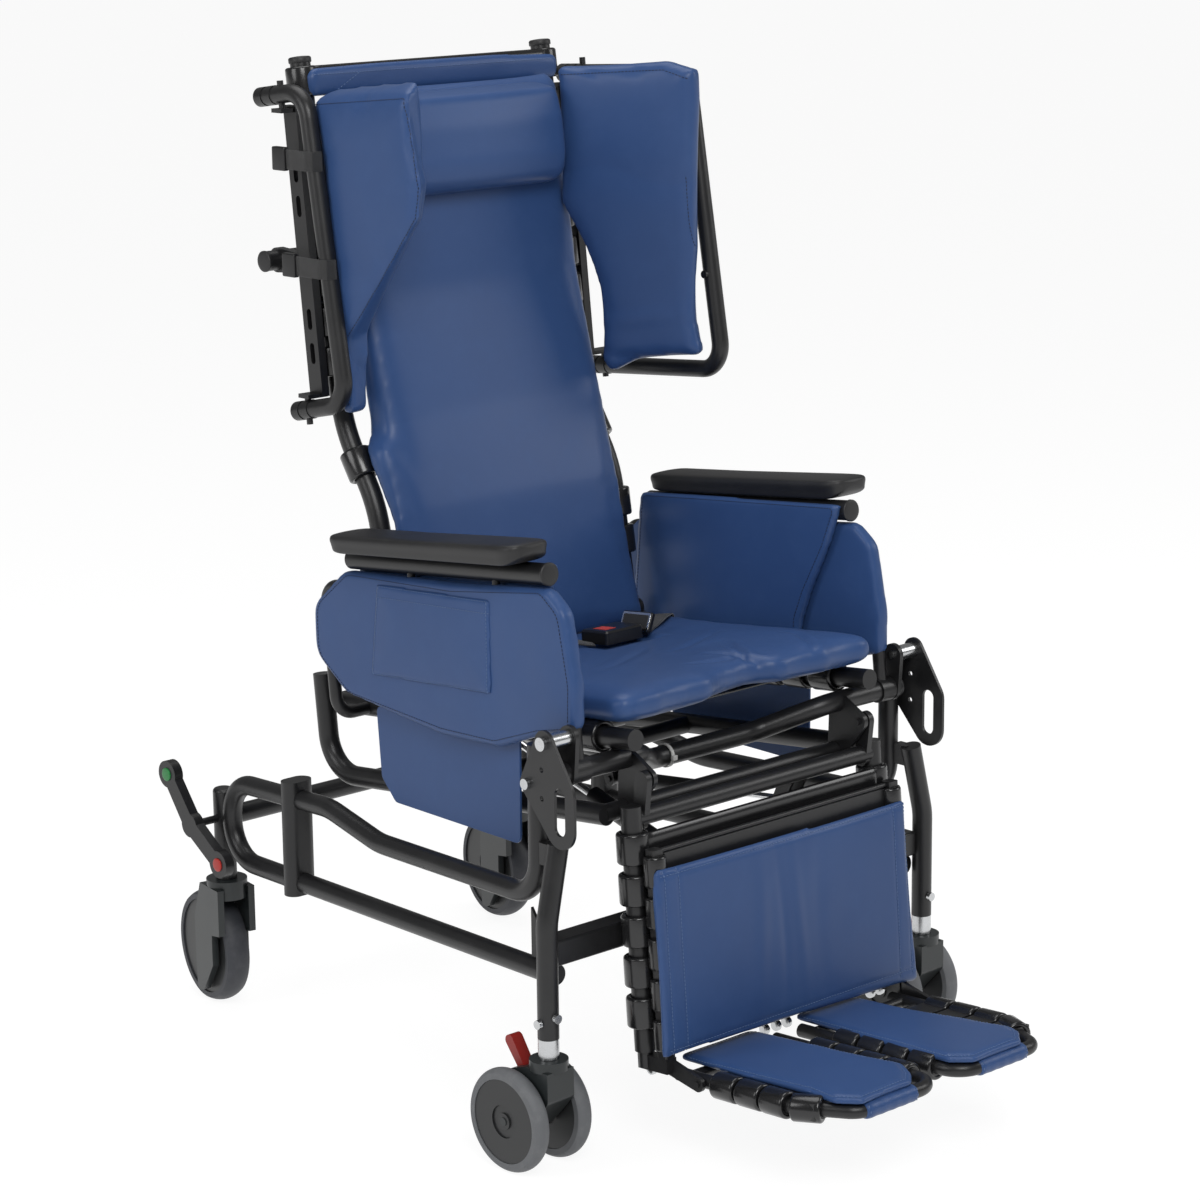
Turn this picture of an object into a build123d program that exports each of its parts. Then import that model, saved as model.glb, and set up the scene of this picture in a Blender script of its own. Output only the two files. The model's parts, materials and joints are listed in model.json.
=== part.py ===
from build123d import *
from math import cos, hypot, radians, sin
import os

os.makedirs("parts", exist_ok=True)

# All sizes are in millimetres. X runs to the sitter's left, Y to the rear, Z up.
# Fore-and-aft sizes are measured from the front caster stems.

# tube stock and running clearances
frame_tube = 25.4
slim_tube = 22.2
pin_play = 0.05
body_gap = 0.4
weld_gap = 0.2

# base frame
stem_spread = 320.0
leg_spread = 296.0
leg_rear = 38.0
leg_top = 503.0
rail_front_up = 318.0
rail_mid_rear = 356.0
rail_mid_up = 310.0
rail_rise_rear = 462.0
rail_rise_up = 331.0
loop_end_spread = 256.0
loop_drop_up = 318.0
low_rail_front_up = 231.0
low_rail_rear_up = 214.0
wheelbase = 712.0
loop_end_rear = wheelbase - 26.3
rear_stem_spread = 250.0

# casters
front_wheel = 125.0
front_wheel_width = 21.0
front_wheel_offset = 33.0
front_trail = 33.0
rear_wheel = 150.0
rear_wheel_width = 32.0
rear_trail = 43.0
rear_swivel = 10.0
tyre_depth = 12.0
axle = 10.0

# seat unit, drawn in its own tilted plane whose origin is the tilt pivot
pivot_rear = 9.0
pivot_up = 512.0
seat_tilt = 5.9
pivot_pin = 10.0
seat_rail_spread = 197.5
seat_rail_front = -28.5
seat_rail_rise = -16.0
lower_rail_spread = 215.0
lower_rail_rise = -104.7
lower_rail_front = 12.0
lower_rail_rear = 529.0
seat_cross_fore = 9.2
seat_cross_rise = -42.5
seat_cross_back = 72.4
seat_cross_dip = -70.0

# arms
arm_spread = 252.0
arm_rise = 183.0
arm_front = 38.0
arm_rear = 398.0
arm_pad_front = 41.0
arm_pad_length = 349.0
arm_pad_width = 66.0
arm_pad_thick = 28.0
arm_pad_spread = 268.0
cover_thick = 20.0

# back, measured from the recline pivot
back_pivot_along = 418.0
back_pivot_rise = 4.0
back_rail_spread = 197.0
back_top_rear = 144.5
back_top_up = 775.0
back_bend_rear = 78.0
back_bend_up = 327.0
lumbar_rear = 15.0
lumbar_up = 232.0
back_foot_rear = -14.0
back_foot_up = 42.0

# legrest, drawn in its own plane whose origin is the knee pivot
knee_along = -25.4
knee_drop = -65.0
leg_lean = 4.3
leg_rail_spread = 203.0
leg_rail_back = 8.0
leg_rail_top = 29.0
leg_rail_foot = 322.0
slide_rail_spread = 200.0
slide_rail_fore = -24.0
slide_rail_top = 76.0

# footplates, drawn in their own slightly raised plane from the ankle hinge
ankle_down = 338.0
ankle_fore = -24.0
foot_outer = 183.0
foot_inner = 22.0
foot_length = 259.0
foot_tube = 17.0
foot_slope = 3.4

# vinyl straps
strap_wide = 37.0
strap_pitch = 48.5
strap_thick = 3.4
strap_bead = 19.5

toe_reach = 339.95
rear_reach = rear_trail * cos(radians(rear_swivel)) + rear_wheel / 2
front_y = (toe_reach - wheelbase - rear_reach) / 2

tilt = radians(seat_tilt)
lean = radians(leg_lean)
slope_up = radians(foot_slope)


def at(x, rear, up):
    """A point given from the line between the front caster stems, on the floor."""
    return (x, front_y + rear, up)


def seat_at(x, along, rise):
    """A point of the seat unit, along the seat and square to it."""
    rear = pivot_rear + along * cos(tilt) + rise * sin(tilt)
    return at(x, rear, pivot_up - along * sin(tilt) + rise * cos(tilt))


def side_plane(x):
    return Plane(origin=at(x, 0, 0), x_dir=(0, 1, 0), z_dir=(1, 0, 0))


def seat_plane(x):
    return Plane(origin=seat_at(x, 0, 0), x_dir=(0, cos(tilt), -sin(tilt)), z_dir=(1, 0, 0))


knee = seat_at(0, knee_along, knee_drop)
back_pivot = seat_at(0, back_pivot_along, back_pivot_rise)


def leg_at(x, down, back):
    """A point of the legrest: down the shin, and backwards square to it."""
    return (x, knee[1] - down * sin(lean) + back * cos(lean), knee[2] - down * cos(lean) - back * sin(lean))


def leg_plane(x):
    return Plane(origin=leg_at(x, 0, 0), x_dir=(0, -sin(lean), -cos(lean)), z_dir=(1, 0, 0))


def back_at(x, rear, up):
    return (x, back_pivot[1] + rear, back_pivot[2] + up)


def back_plane(x):
    return Plane(origin=back_at(x, 0, 0), x_dir=(0, 1, 0), z_dir=(1, 0, 0))


ankle = leg_at(0, ankle_down, ankle_fore)


def foot_at(x, fore, rise):
    """A point of a footplate: forwards from the ankle hinge, and square to the plate."""
    rear = rise * sin(slope_up) - fore * cos(slope_up)
    return (x, ankle[1] + rear, ankle[2] + fore * sin(slope_up) + rise * cos(slope_up))


def foot_plane(rise):
    return Plane(origin=foot_at(0, 0, rise), x_dir=(1, 0, 0), z_dir=(0, sin(slope_up), cos(slope_up)))


def bar(points, bends, size):
    """A round bar or tube swept along straight runs with tangent bends, in the current part."""
    with BuildLine() as route:
        FilletPolyline(*points, radius=bends)
    run = Vector(*points[1]) - Vector(*points[0])
    with BuildSketch(Plane(origin=points[0], z_dir=run)) as section:
        Circle(size / 2)
    sweep(section.sketch, path=route.wire())


def rod(start, end, size, bore=0):
    """A straight round rod, or a tube where a bore is given, in the current part."""
    run = Vector(*end) - Vector(*start)
    with BuildSketch(Plane(origin=start, z_dir=run)) as section:
        Circle(size / 2)
        if bore:
            Circle(bore / 2, mode=Mode.SUBTRACT)
    extrude(section.sketch, amount=run.length)


def drill(start, end, size):
    """A straight round hole through the current part."""
    run = Vector(*end) - Vector(*start)
    with BuildSketch(Plane(origin=start, z_dir=run)) as section:
        Circle(size / 2)
    extrude(section.sketch, amount=run.length, mode=Mode.SUBTRACT)


def save(part, name):
    part.part.label = name
    export_step(part.part, f"parts/{name}.step")


def plate_from(side, near, thick):
    """Where a plate starts that stands from near outwards on one side, extruded towards +X."""
    return near if side > 0 else -near - thick


def loop_spread(rear):
    """How far the side loop stands from the middle: it draws in towards the rear."""
    share = (rear - leg_rear) / (loop_end_rear - leg_rear)
    return leg_spread + (loop_end_spread - leg_spread) * share


def low_rail_up(rear):
    share = (rear - leg_rear) / (loop_end_rear - leg_rear)
    return low_rail_front_up + (low_rail_rear_up - low_rail_front_up) * share


def top_rail_up(rear):
    share = (rear - rail_rise_rear) / (loop_end_rear - rail_rise_rear)
    return rail_rise_up + (loop_drop_up - rail_rise_up) * share


# ---------------------------------------------------------------- base frame
low_rail_front = 8.8
for side, name in ((-1, "right"), (1, "left")):
    loop_runs = [
        (leg_rear, leg_top),
        (leg_rear, rail_front_up),
        (rail_mid_rear, rail_mid_up),
        (rail_rise_rear, rail_rise_up),
        (loop_end_rear, loop_drop_up),
        (loop_end_rear, low_rail_up(loop_end_rear)),
        (low_rail_front, low_rail_up(low_rail_front)),
    ]
    with BuildPart() as side_loop:
        points = [at(side * loop_spread(rear), rear, up) for rear, up in loop_runs]
        bar(points, [48, 120, 120, 50, 50], frame_tube)
    save(side_loop, f"side_loop_{name}")

post_top = 390.0
post_bend = 300.0
post_foot = 163.2
post_lean_spread = 299.0
saddle_low = 364.0
stem_spigot = 20.0
stem_spigot_long = 46.0
with BuildPart() as posts:
    for side in (-1, 1):
        runs = [
            at(side * stem_spread, 0, post_foot),
            at(side * stem_spread, 0, post_bend),
            at(side * post_lean_spread, 2, post_top),
        ]
        bar(runs, 80, frame_tube)
        with Locations(at(side * (leg_spread + 4), 15, (saddle_low + post_top) / 2)):
            Box(14, 22, post_top - saddle_low)
        drill(at(side * leg_spread, leg_rear, rail_front_up), at(side * leg_spread, leg_rear, post_top + 1),
              frame_tube + 2 * weld_gap)
        drill(at(side * stem_spread, 0, post_foot),
            at(side * stem_spread, 0, post_foot + stem_spigot_long + 1),
              stem_spigot + 2 * pin_play)
save(posts, "front_posts")

upright_rear = 535.0
upright_wide = 42.0
upright_deep = 26.0
upright_low = 202.0
upright_high = 352.0
with BuildPart() as uprights:
    for side in (-1, 1):
        centre = at(side * loop_spread(upright_rear), upright_rear, upright_low)
        with BuildSketch(Plane(origin=centre, x_dir=(1, 0, 0), z_dir=(0, 0, 1))):
            SlotOverall(upright_wide, upright_deep)
        extrude(amount=upright_high - upright_low)
        ends = (upright_rear - 20, upright_rear + 20)
        drill(*[at(side * loop_spread(rear), rear, low_rail_up(rear)) for rear in ends],
            frame_tube + 2 * weld_gap)
        drill(*[at(side * loop_spread(rear), rear, top_rail_up(rear)) for rear in ends],
            frame_tube + 2 * weld_gap)
save(uprights, "upright_bars")

cross_size = 31.0
cross_low = low_rail_up(low_rail_front) + frame_tube / 2 + weld_gap
# tie-down plates: a boomerang with a hand-sized loop, bolted over the leg and carrying the tilt pivot
plate_thick = 4.0
plate_in = leg_spread + frame_tube / 2 + 0.3
loop_hook_rear = -17.0
loop_hook_low = 416.0
loop_hook_high = 455.0
loop_hook_wide = 18.0
leg_bolt_up = 459.0
bolt_head = 13.0
with BuildPart() as tie_plates:
    for side in (-1, 1):
        with BuildSketch(side_plane(plate_from(side, plate_in, plate_thick))):
            with BuildSketch(mode=Mode.PRIVATE) as outline:
                with Locations((pivot_rear, pivot_up)):
                    Circle(15)
                with Locations((leg_rear, leg_bolt_up)):
                    Circle(12)
                with Locations((loop_hook_rear, loop_hook_high), (loop_hook_rear, loop_hook_low)):
                    Circle(loop_hook_wide / 2 + 15)
            make_hull(outline.sketch.edges())
            with Locations((loop_hook_rear, (loop_hook_low + loop_hook_high) / 2)):
                SlotCenterToCenter(loop_hook_high - loop_hook_low, loop_hook_wide, rotation=90,
                    mode=Mode.SUBTRACT)
            with Locations((pivot_rear, pivot_up)):
                Circle(pivot_pin / 2 + pin_play, mode=Mode.SUBTRACT)
            with Locations((13, 480), (13, 446)):
                Circle(3.2, mode=Mode.SUBTRACT)
        extrude(amount=plate_thick)
save(tie_plates, "tie_down_plates")

lug_in = 270.0
lug_thick = 6.0
with BuildPart() as pivots:
    for side in (-1, 1):
        centre = (pivot_rear, pivot_up)
        rod(at(side * (plate_in + plate_thick + 0.2), *centre),
            at(side * (plate_in + plate_thick + 6), *centre), 16)
        rod(at(side * (lug_in - 3), *centre), at(side * (plate_in + plate_thick + 1), *centre), pivot_pin)
        rod(at(side * (lug_in + lug_thick + 0.5), *centre), at(side * (plate_in - 0.2), *centre), 19)
save(pivots, "tilt_pivots")

# square front cross tube with its gussets, and the clevis of the tilt spring behind it
gusset_thick = 4.0
gusset_rear = 52.0
clevis_in = 9.0
clevis_thick = 4.0
tilt_clevis_rear = 48.0
tilt_clevis_up = cross_low + 22
spring_pin = 8.0
with BuildPart() as front_cross:
    with BuildSketch(side_plane(0)):
        with Locations((cross_size / 2, cross_low + cross_size / 2)):
            RectangleRounded(cross_size, cross_size, 3)
    extrude(amount=stem_spread - frame_tube / 2 - weld_gap, both=True)
    for low in (clevis_in, -clevis_in - clevis_thick):
        with BuildSketch(side_plane(low)):
            with BuildLine():
                Polyline(
                    (cross_size - 2, cross_low + 4),
                    (tilt_clevis_rear, tilt_clevis_up - 10),
                    (tilt_clevis_rear, tilt_clevis_up + 10),
                    (cross_size - 2, cross_low + 28),
                    close=True,
                )
            make_face()
            with Locations((tilt_clevis_rear, tilt_clevis_up)):
                Circle(10)
        extrude(amount=clevis_thick)
    rod(at(-clevis_in - clevis_thick - 3, tilt_clevis_rear, tilt_clevis_up),
        at(clevis_in + clevis_thick + 3, tilt_clevis_rear, tilt_clevis_up), spring_pin)
    for side in (-1, 1):
        low = low_rail_up(leg_rear) + frame_tube / 2 + 0.6
        with BuildSketch(side_plane(plate_from(side, leg_spread - gusset_thick / 2, gusset_thick))):
            with BuildLine():
                Polyline(
                    (cross_size - 1, low),
                    (gusset_rear, low),
                    (gusset_rear, rail_front_up - 14),
                    (cross_size - 1, cross_low + cross_size - 3),
                    close=True,
                )
            make_face()
        extrude(amount=gusset_thick)
save(front_cross, "front_cross_tube")

# rear caster housings, joined by the cross tube that the lock bar runs in
housing = 28.0
housing_foot = 179.4
housing_top = 302.0
lock_up = 262.0
lock_bar_size = 10.0
rear_spigot = 20.0
rear_spigot_long = 52.0
with BuildPart() as rear_cross:
    end = rear_stem_spread - housing / 2 - weld_gap
    rod(at(-end, wheelbase, lock_up), at(end, wheelbase, lock_up), frame_tube, 21)
save(rear_cross, "rear_cross_tube")
with BuildPart() as housings:
    for side in (-1, 1):
        foot = at(side * rear_stem_spread, wheelbase, housing_foot)
        rod(foot, at(side * rear_stem_spread, wheelbase, housing_top), housing)
    fillet(housings.faces().sort_by(Axis.Z)[-2:].edges(), 5)
    for side in (-1, 1):
        foot = at(side * rear_stem_spread, wheelbase, housing_foot)
        drill(foot, at(side * rear_stem_spread, wheelbase, housing_foot + rear_spigot_long + 2),
              rear_spigot + 2 * pin_play)
    drill(at(-rear_stem_spread - 20, wheelbase, lock_up), at(rear_stem_spread + 20, wheelbase, lock_up),
          lock_bar_size + 2 * pin_play)
save(housings, "rear_housings")

# bolts that clamp the caster stems, hold the plates and pass through the loops
with BuildPart() as bolts:
    for side in (-1, 1):
        plate_out = plate_in + plate_thick + 0.2
        rod(at(side * plate_out, leg_rear, leg_bolt_up),
            at(side * (plate_out + 5), leg_rear, leg_bolt_up), bolt_head)
        front = frame_tube / 2 + 0.2
        rod(at(side * stem_spread, -front, 190), at(side * stem_spread, -front - 5, 190), bolt_head - 2)
        rod(at(side * (stem_spread + front), 0, 183), at(side * (stem_spread + front + 5), 0, 183),
            bolt_head - 2)
save(bolts, "frame_bolts")

# ---------------------------------------------------------------- front casters
stem_low = 139.0
fork_pin = 12.0
fork_pin_long = 30.0
with BuildPart() as stems:
    for side in (-1, 1):
        rod(at(side * stem_spread, 0, stem_low), at(side * stem_spread, 0, post_foot - 0.2),
            frame_tube - 0.4)
        rod(at(side * stem_spread, 0, post_foot - 1),
            at(side * stem_spread, 0, post_foot + stem_spigot_long), stem_spigot)
        rod(at(side * stem_spread, 0, stem_low - fork_pin_long),
            at(side * stem_spread, 0, stem_low + 1), fork_pin)
save(stems, "front_stems")


def caster_at(spread, rear, swivel, across, back, up):
    """A point of a caster: across its wheel, and back along its trail."""
    turn = radians(swivel)
    return at(spread + across * cos(turn) + back * sin(turn),
        rear - across * sin(turn) + back * cos(turn), up)


def caster_plane(spread, rear, swivel, across):
    turn = radians(swivel)
    origin = caster_at(spread, rear, swivel, across, 0, 0)
    return Plane(origin=origin, x_dir=(sin(turn), cos(turn), 0), z_dir=(cos(turn), -sin(turn), 0))


def tyre(plane, back, radius, depth, width):
    """A rounded tyre: its section turned about the axle, which lies square to the plane."""
    axis_origin = plane.from_local_coords(Vector(back, radius, 0))
    flat = Plane(origin=axis_origin, x_dir=plane.z_dir, z_dir=plane.x_dir)
    with BuildSketch(flat) as section:
        with BuildLine():
            inner = radius - depth
            Line((-width / 2, inner), (width / 2, inner))
            Line((width / 2, inner), (width / 2, radius - 5))
            ThreePointArc((width / 2, radius - 5), (0, radius), (-width / 2, radius - 5))
            Line((-width / 2, radius - 5), (-width / 2, inner))
        make_face()
    revolve(section.sketch, axis=Axis(axis_origin, plane.z_dir))


def hub(plane, back, up, radius, width, recess):
    """A dished wheel disc with a bore for the axle and a round recess on both faces."""
    with BuildSketch(plane.offset(-width / 2)) as disc:
        with Locations((back, up)):
            Circle(radius)
            Circle(axle / 2 + pin_play, mode=Mode.SUBTRACT)
    extrude(disc.sketch, amount=width)
    for level in (-width / 2, width / 2 - 2):
        with BuildSketch(plane.offset(level)) as dish:
            with Locations((back, up)):
                Circle(recess)
                Circle(axle / 2 + 5, mode=Mode.SUBTRACT)
        extrude(dish.sketch, amount=2, mode=Mode.SUBTRACT)


fork_half = front_wheel_offset - front_wheel_width / 2 - 2
axle_up = front_wheel / 2
tab_pivot_back = 34.0
tab_pivot_up = 111.0
tab_tip_back = 60.0
tab_tip_up = 146.0
tab_thick = 16.0
for side, name in ((-1, "right"), (1, "left")):
    spread = side * stem_spread
    with BuildPart() as fork:
        rod(at(spread, 0, 126), at(spread, 0, stem_low - body_gap), 46)
        with BuildSketch(caster_plane(spread, 0, 0, 0)):
            with BuildLine():
                Polyline((-20, 128), (-20, 92), (18, 50), (46, 50), (50, 100), (43, 120), (20, 128),
                    close=True)
            make_face()
            fillet(vertices().sort_by(Axis.Y)[2:4], 8)
        extrude(amount=fork_half, both=True)
        drill(at(spread, 0, stem_low - fork_pin_long - 4), at(spread, 0, stem_low), fork_pin + 2 * pin_play)
        reach = front_wheel_offset + front_wheel_width / 2
        rod(caster_at(spread, 0, 0, -reach, front_trail, axle_up),
            caster_at(spread, 0, 0, reach, front_trail, axle_up), axle)
        with BuildSketch(caster_plane(spread, 0, 0, 0)):
            with Locations((tab_pivot_back + 8, tab_pivot_up + 9)):
                Rectangle(30, 32)
        extrude(amount=tab_thick / 2 + 1, both=True, mode=Mode.SUBTRACT)
        rod(caster_at(spread, 0, 0, -fork_half, tab_pivot_back, tab_pivot_up),
            caster_at(spread, 0, 0, fork_half, tab_pivot_back, tab_pivot_up), 5)
    save(fork, f"front_fork_{name}")
    with BuildPart() as tab:
        with BuildSketch(caster_plane(spread, 0, 0, 0)):
            with BuildSketch(mode=Mode.PRIVATE) as lever:
                with Locations((tab_pivot_back, tab_pivot_up)):
                    Circle(5)
                with Locations((tab_tip_back, tab_tip_up)):
                    Circle(7)
            make_hull(lever.sketch.edges())
            with Locations((tab_pivot_back, tab_pivot_up)):
                Circle(2.5 + pin_play, mode=Mode.SUBTRACT)
        extrude(amount=tab_thick / 2, both=True)
    save(tab, f"brake_tab_{name}")
    with BuildPart() as tyres:
        for across in (-front_wheel_offset, front_wheel_offset):
            tyre(caster_plane(spread, 0, 0, across), front_trail, axle_up, tyre_depth, front_wheel_width)
    save(tyres, f"front_tyres_{name}")
    with BuildPart() as hubs:
        for across in (-front_wheel_offset, front_wheel_offset):
            hub(caster_plane(spread, 0, 0, across), front_trail, axle_up, axle_up - tyre_depth - 0.2,
                front_wheel_width - 2, 20)
    save(hubs, f"front_hubs_{name}")

# ---------------------------------------------------------------- rear casters
rear_axle_up = rear_wheel / 2
arm_in = rear_wheel_width / 2 + 2
arm_thick = 9.0
hood_foot = 108.0
for side, name in ((-1, "right"), (1, "left")):
    spread = side * rear_stem_spread
    with BuildPart() as fork:
        rod(at(spread, wheelbase, 154), at(spread, wheelbase, housing_foot - body_gap),
            2 * (arm_in + arm_thick))
        for low in (arm_in, -arm_in - arm_thick):
            with BuildSketch(caster_plane(spread, wheelbase, rear_swivel, low)):
                with BuildLine():
                    Polyline(
                        (-26, 170), (-26, hood_foot), (-4, hood_foot - 4), (-4, 62), (24, 22),
                            (rear_trail, 14),
                        (rear_trail + 2, 60), (rear_trail + 2, 120), (26, 170), close=True,
                    )
                make_face()
                fillet(vertices().sort_by(Axis.Y)[:2], 8)
            extrude(amount=arm_thick)
        reach = arm_in + 1
        rod(caster_at(spread, wheelbase, rear_swivel, -reach, rear_trail, rear_axle_up),
            caster_at(spread, wheelbase, rear_swivel, reach, rear_trail, rear_axle_up), axle)
        rod(at(spread, wheelbase, 170), at(spread, wheelbase, housing_foot + rear_spigot_long), rear_spigot)
    save(fork, f"rear_fork_{name}")
    with BuildPart() as rear_tyre:
        tyre(caster_plane(spread, wheelbase, rear_swivel, 0), rear_trail, rear_axle_up, tyre_depth,
            rear_wheel_width)
    save(rear_tyre, f"rear_tyre_{name}")
    with BuildPart() as rear_hub:
        hub(caster_plane(spread, wheelbase, rear_swivel, 0), rear_trail, rear_axle_up,
            rear_axle_up - tyre_depth - 0.2, rear_wheel_width - 4, 26)
    save(rear_hub, f"rear_hub_{name}")

# central lock: a bar inside the rear cross tube, turned by a rocker pedal at each end
pedal_in = 294.0
pedal_thick = 13.0
with BuildPart() as lock_bar:
    rod(at(-pedal_in - 1, wheelbase, lock_up), at(pedal_in + 1, wheelbase, lock_up), lock_bar_size)
    for side in (-1, 1):
        with BuildSketch(side_plane(plate_from(side, pedal_in, pedal_thick))):
            for end in ((757, 322), (652, 222)):
                with BuildSketch(mode=Mode.PRIVATE) as lever:
                    with Locations((wheelbase, lock_up)):
                        Circle(12)
                    with Locations(end):
                        Circle(11)
                make_hull(lever.sketch.edges())
                with Locations(end):
                    Circle(18)
            with Locations((wheelbase, lock_up)):
                Circle(16)
        extrude(amount=pedal_thick)
save(lock_bar, "lock_bar")

# ---------------------------------------------------------------- seat unit
seat_cross_bow = 88.0
seat_cross_shoulder = 160.0
lug_round = 14.0
front_lower_along = 20.0
mid_lower_along = 318.0
rear_lower_along = 440.0
drop_in = 175.0
drop_thick = 6.0
knee_pin = 8.0
tilt_eye = (412.0, -97.0)
leg_eye = (307.7, -146.1)
leg_spring_x = 70.0
recline_eye = (102.0, -77.0)
recline_spring_x = -70.0


def ears(part_plane, middle, root, root_round, eye, eye_round, bore):
    """Two parallel ears about a middle plane, from a tube out to an eye; bored where a pin turns in them."""
    for low in (middle + clevis_in, middle - clevis_in - clevis_thick):
        with BuildSketch(part_plane(low)) as ear:
            with BuildSketch(mode=Mode.PRIVATE) as outline:
                with Locations(root):
                    Circle(root_round)
                with Locations(eye):
                    Circle(eye_round)
            make_hull(outline.sketch.edges())
            if bore:
                with Locations(eye):
                    Circle(bore / 2, mode=Mode.SUBTRACT)
        extrude(ear.sketch, amount=clevis_thick)


lower_tubes = ((front_lower_along, lower_rail_rise), (mid_lower_along, lower_rail_rise),
               (rear_lower_along, lower_rail_rise), (lower_rail_rear, seat_rail_rise))
back_lug_in = 190.0
back_lug_thick = 12.5
back_plate_in = 208.0
back_plate_thick = 7.0
with BuildPart() as seat_frame:
    for side in (-1, 1):
        rod(seat_at(side * seat_rail_spread, seat_rail_front, seat_rail_rise),
            seat_at(side * seat_rail_spread, lower_rail_rear, seat_rail_rise), frame_tube)
        spread = side * lower_rail_spread
        bar([seat_at(spread, lower_rail_front, lower_rail_rise),
            seat_at(spread, lower_rail_rear, lower_rail_rise),
             seat_at(spread, lower_rail_rear, 24)], 50, frame_tube)
        with BuildSketch(seat_plane(plate_from(side, back_lug_in, back_lug_thick))) as lug:
            with BuildSketch(mode=Mode.PRIVATE) as outline:
                with Locations((back_pivot_along - 6, seat_rail_rise),
                    (back_pivot_along + 10, seat_rail_rise)):
                    Circle(10)
                with Locations((back_pivot_along, back_pivot_rise)):
                    Circle(12)
            make_hull(outline.sketch.edges())
        extrude(lug.sketch, amount=back_lug_thick)
        rod(seat_at(side * (back_lug_in + 2), back_pivot_along, back_pivot_rise),
            seat_at(side * (back_plate_in + back_plate_thick + 4), back_pivot_along,
                back_pivot_rise), pivot_pin)
    for along, rise in lower_tubes:
        rod(seat_at(-lower_rail_spread, along, rise), seat_at(lower_rail_spread, along, rise),
            frame_tube - 3)
    ears(seat_plane, 0, (rear_lower_along - 4, lower_rail_rise), 8, tilt_eye, 9, spring_pin)
    ears(seat_plane, leg_spring_x, (mid_lower_along, lower_rail_rise), 10, leg_eye, 9, 0)
    reach = clevis_in + clevis_thick + 3
    rod(seat_at(leg_spring_x - reach, *leg_eye), seat_at(leg_spring_x + reach, *leg_eye), spring_pin)
save(seat_frame, "seat_frame")

with BuildPart() as seat_front:
    reach = lug_in + lug_thick + 6
    bar([
        seat_at(-reach, seat_cross_fore, seat_cross_rise),
        seat_at(-seat_cross_shoulder, seat_cross_fore, seat_cross_rise),
        seat_at(-seat_cross_bow, seat_cross_back, seat_cross_dip),
        seat_at(seat_cross_bow, seat_cross_back, seat_cross_dip),
        seat_at(seat_cross_shoulder, seat_cross_fore, seat_cross_rise),
        seat_at(reach, seat_cross_fore, seat_cross_rise),
    ], 45, frame_tube)
    for side in (-1, 1):
        with BuildSketch(seat_plane(plate_from(side, lug_in, lug_thick))) as lug:
            with BuildSketch(mode=Mode.PRIVATE) as outline:
                Circle(lug_round)
                with Locations((seat_cross_fore, seat_cross_rise)):
                    Circle(frame_tube / 2 + 3)
            make_hull(outline.sketch.edges())
            Circle(pivot_pin / 2 + pin_play, mode=Mode.SUBTRACT)
        extrude(lug.sketch, amount=lug_thick)
        with BuildSketch(seat_plane(plate_from(side, drop_in, drop_thick))) as drop:
            with BuildSketch(mode=Mode.PRIVATE) as outline:
                with Locations((seat_cross_fore, seat_cross_rise)):
                    Circle(12)
                with Locations((knee_along, knee_drop)):
                    Circle(11)
                with Locations((front_lower_along - 4, lower_rail_rise)):
                    Circle(14)
            make_hull(outline.sketch.edges())
            with Locations((knee_along, knee_drop)):
                Circle(knee_pin / 2 + pin_play, mode=Mode.SUBTRACT)
        extrude(drop.sketch, amount=drop_thick)
    ears(seat_plane, recline_spring_x, (seat_cross_back + 2, seat_cross_dip), 9, recline_eye, 9, 0)
    reach = clevis_in + clevis_thick + 3
    rod(seat_at(recline_spring_x - reach, *recline_eye),
        seat_at(recline_spring_x + reach, *recline_eye), spring_pin)
    drill(seat_at(-190, front_lower_along, lower_rail_rise),
        seat_at(190, front_lower_along, lower_rail_rise),
          frame_tube - 3 + 2 * weld_gap)
save(seat_front, "seat_front_tube")


def strap(plane, spread, web_level, width):
    """A vinyl strap lying across two tubes and wound round both: thick round beads with a thin web."""
    with BuildSketch(plane) as section:
        for side in (-1, 1):
            with Locations((side * spread, 0)):
                Circle(strap_bead)
        with Locations((0, web_level)):
            Rectangle(2 * spread, strap_thick)
        for side in (-1, 1):
            with Locations((side * spread, 0)):
                Circle(frame_tube / 2 + weld_gap, mode=Mode.SUBTRACT)
    extrude(section.sketch, amount=width / 2, both=True)


web_out = frame_tube / 2 + strap_thick / 2 + 1.5
seat_strap_first = 42.5
seat_strap_count = 8
with BuildPart() as seat_straps:
    for i in range(seat_strap_count):
        origin = seat_at(0, seat_strap_first + i * strap_pitch, seat_rail_rise)
        strap(Plane(origin=origin, x_dir=(1, 0, 0), z_dir=(0, -cos(tilt), sin(tilt))),
              seat_rail_spread, web_out, strap_wide)
save(seat_straps, "seat_straps")


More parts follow.
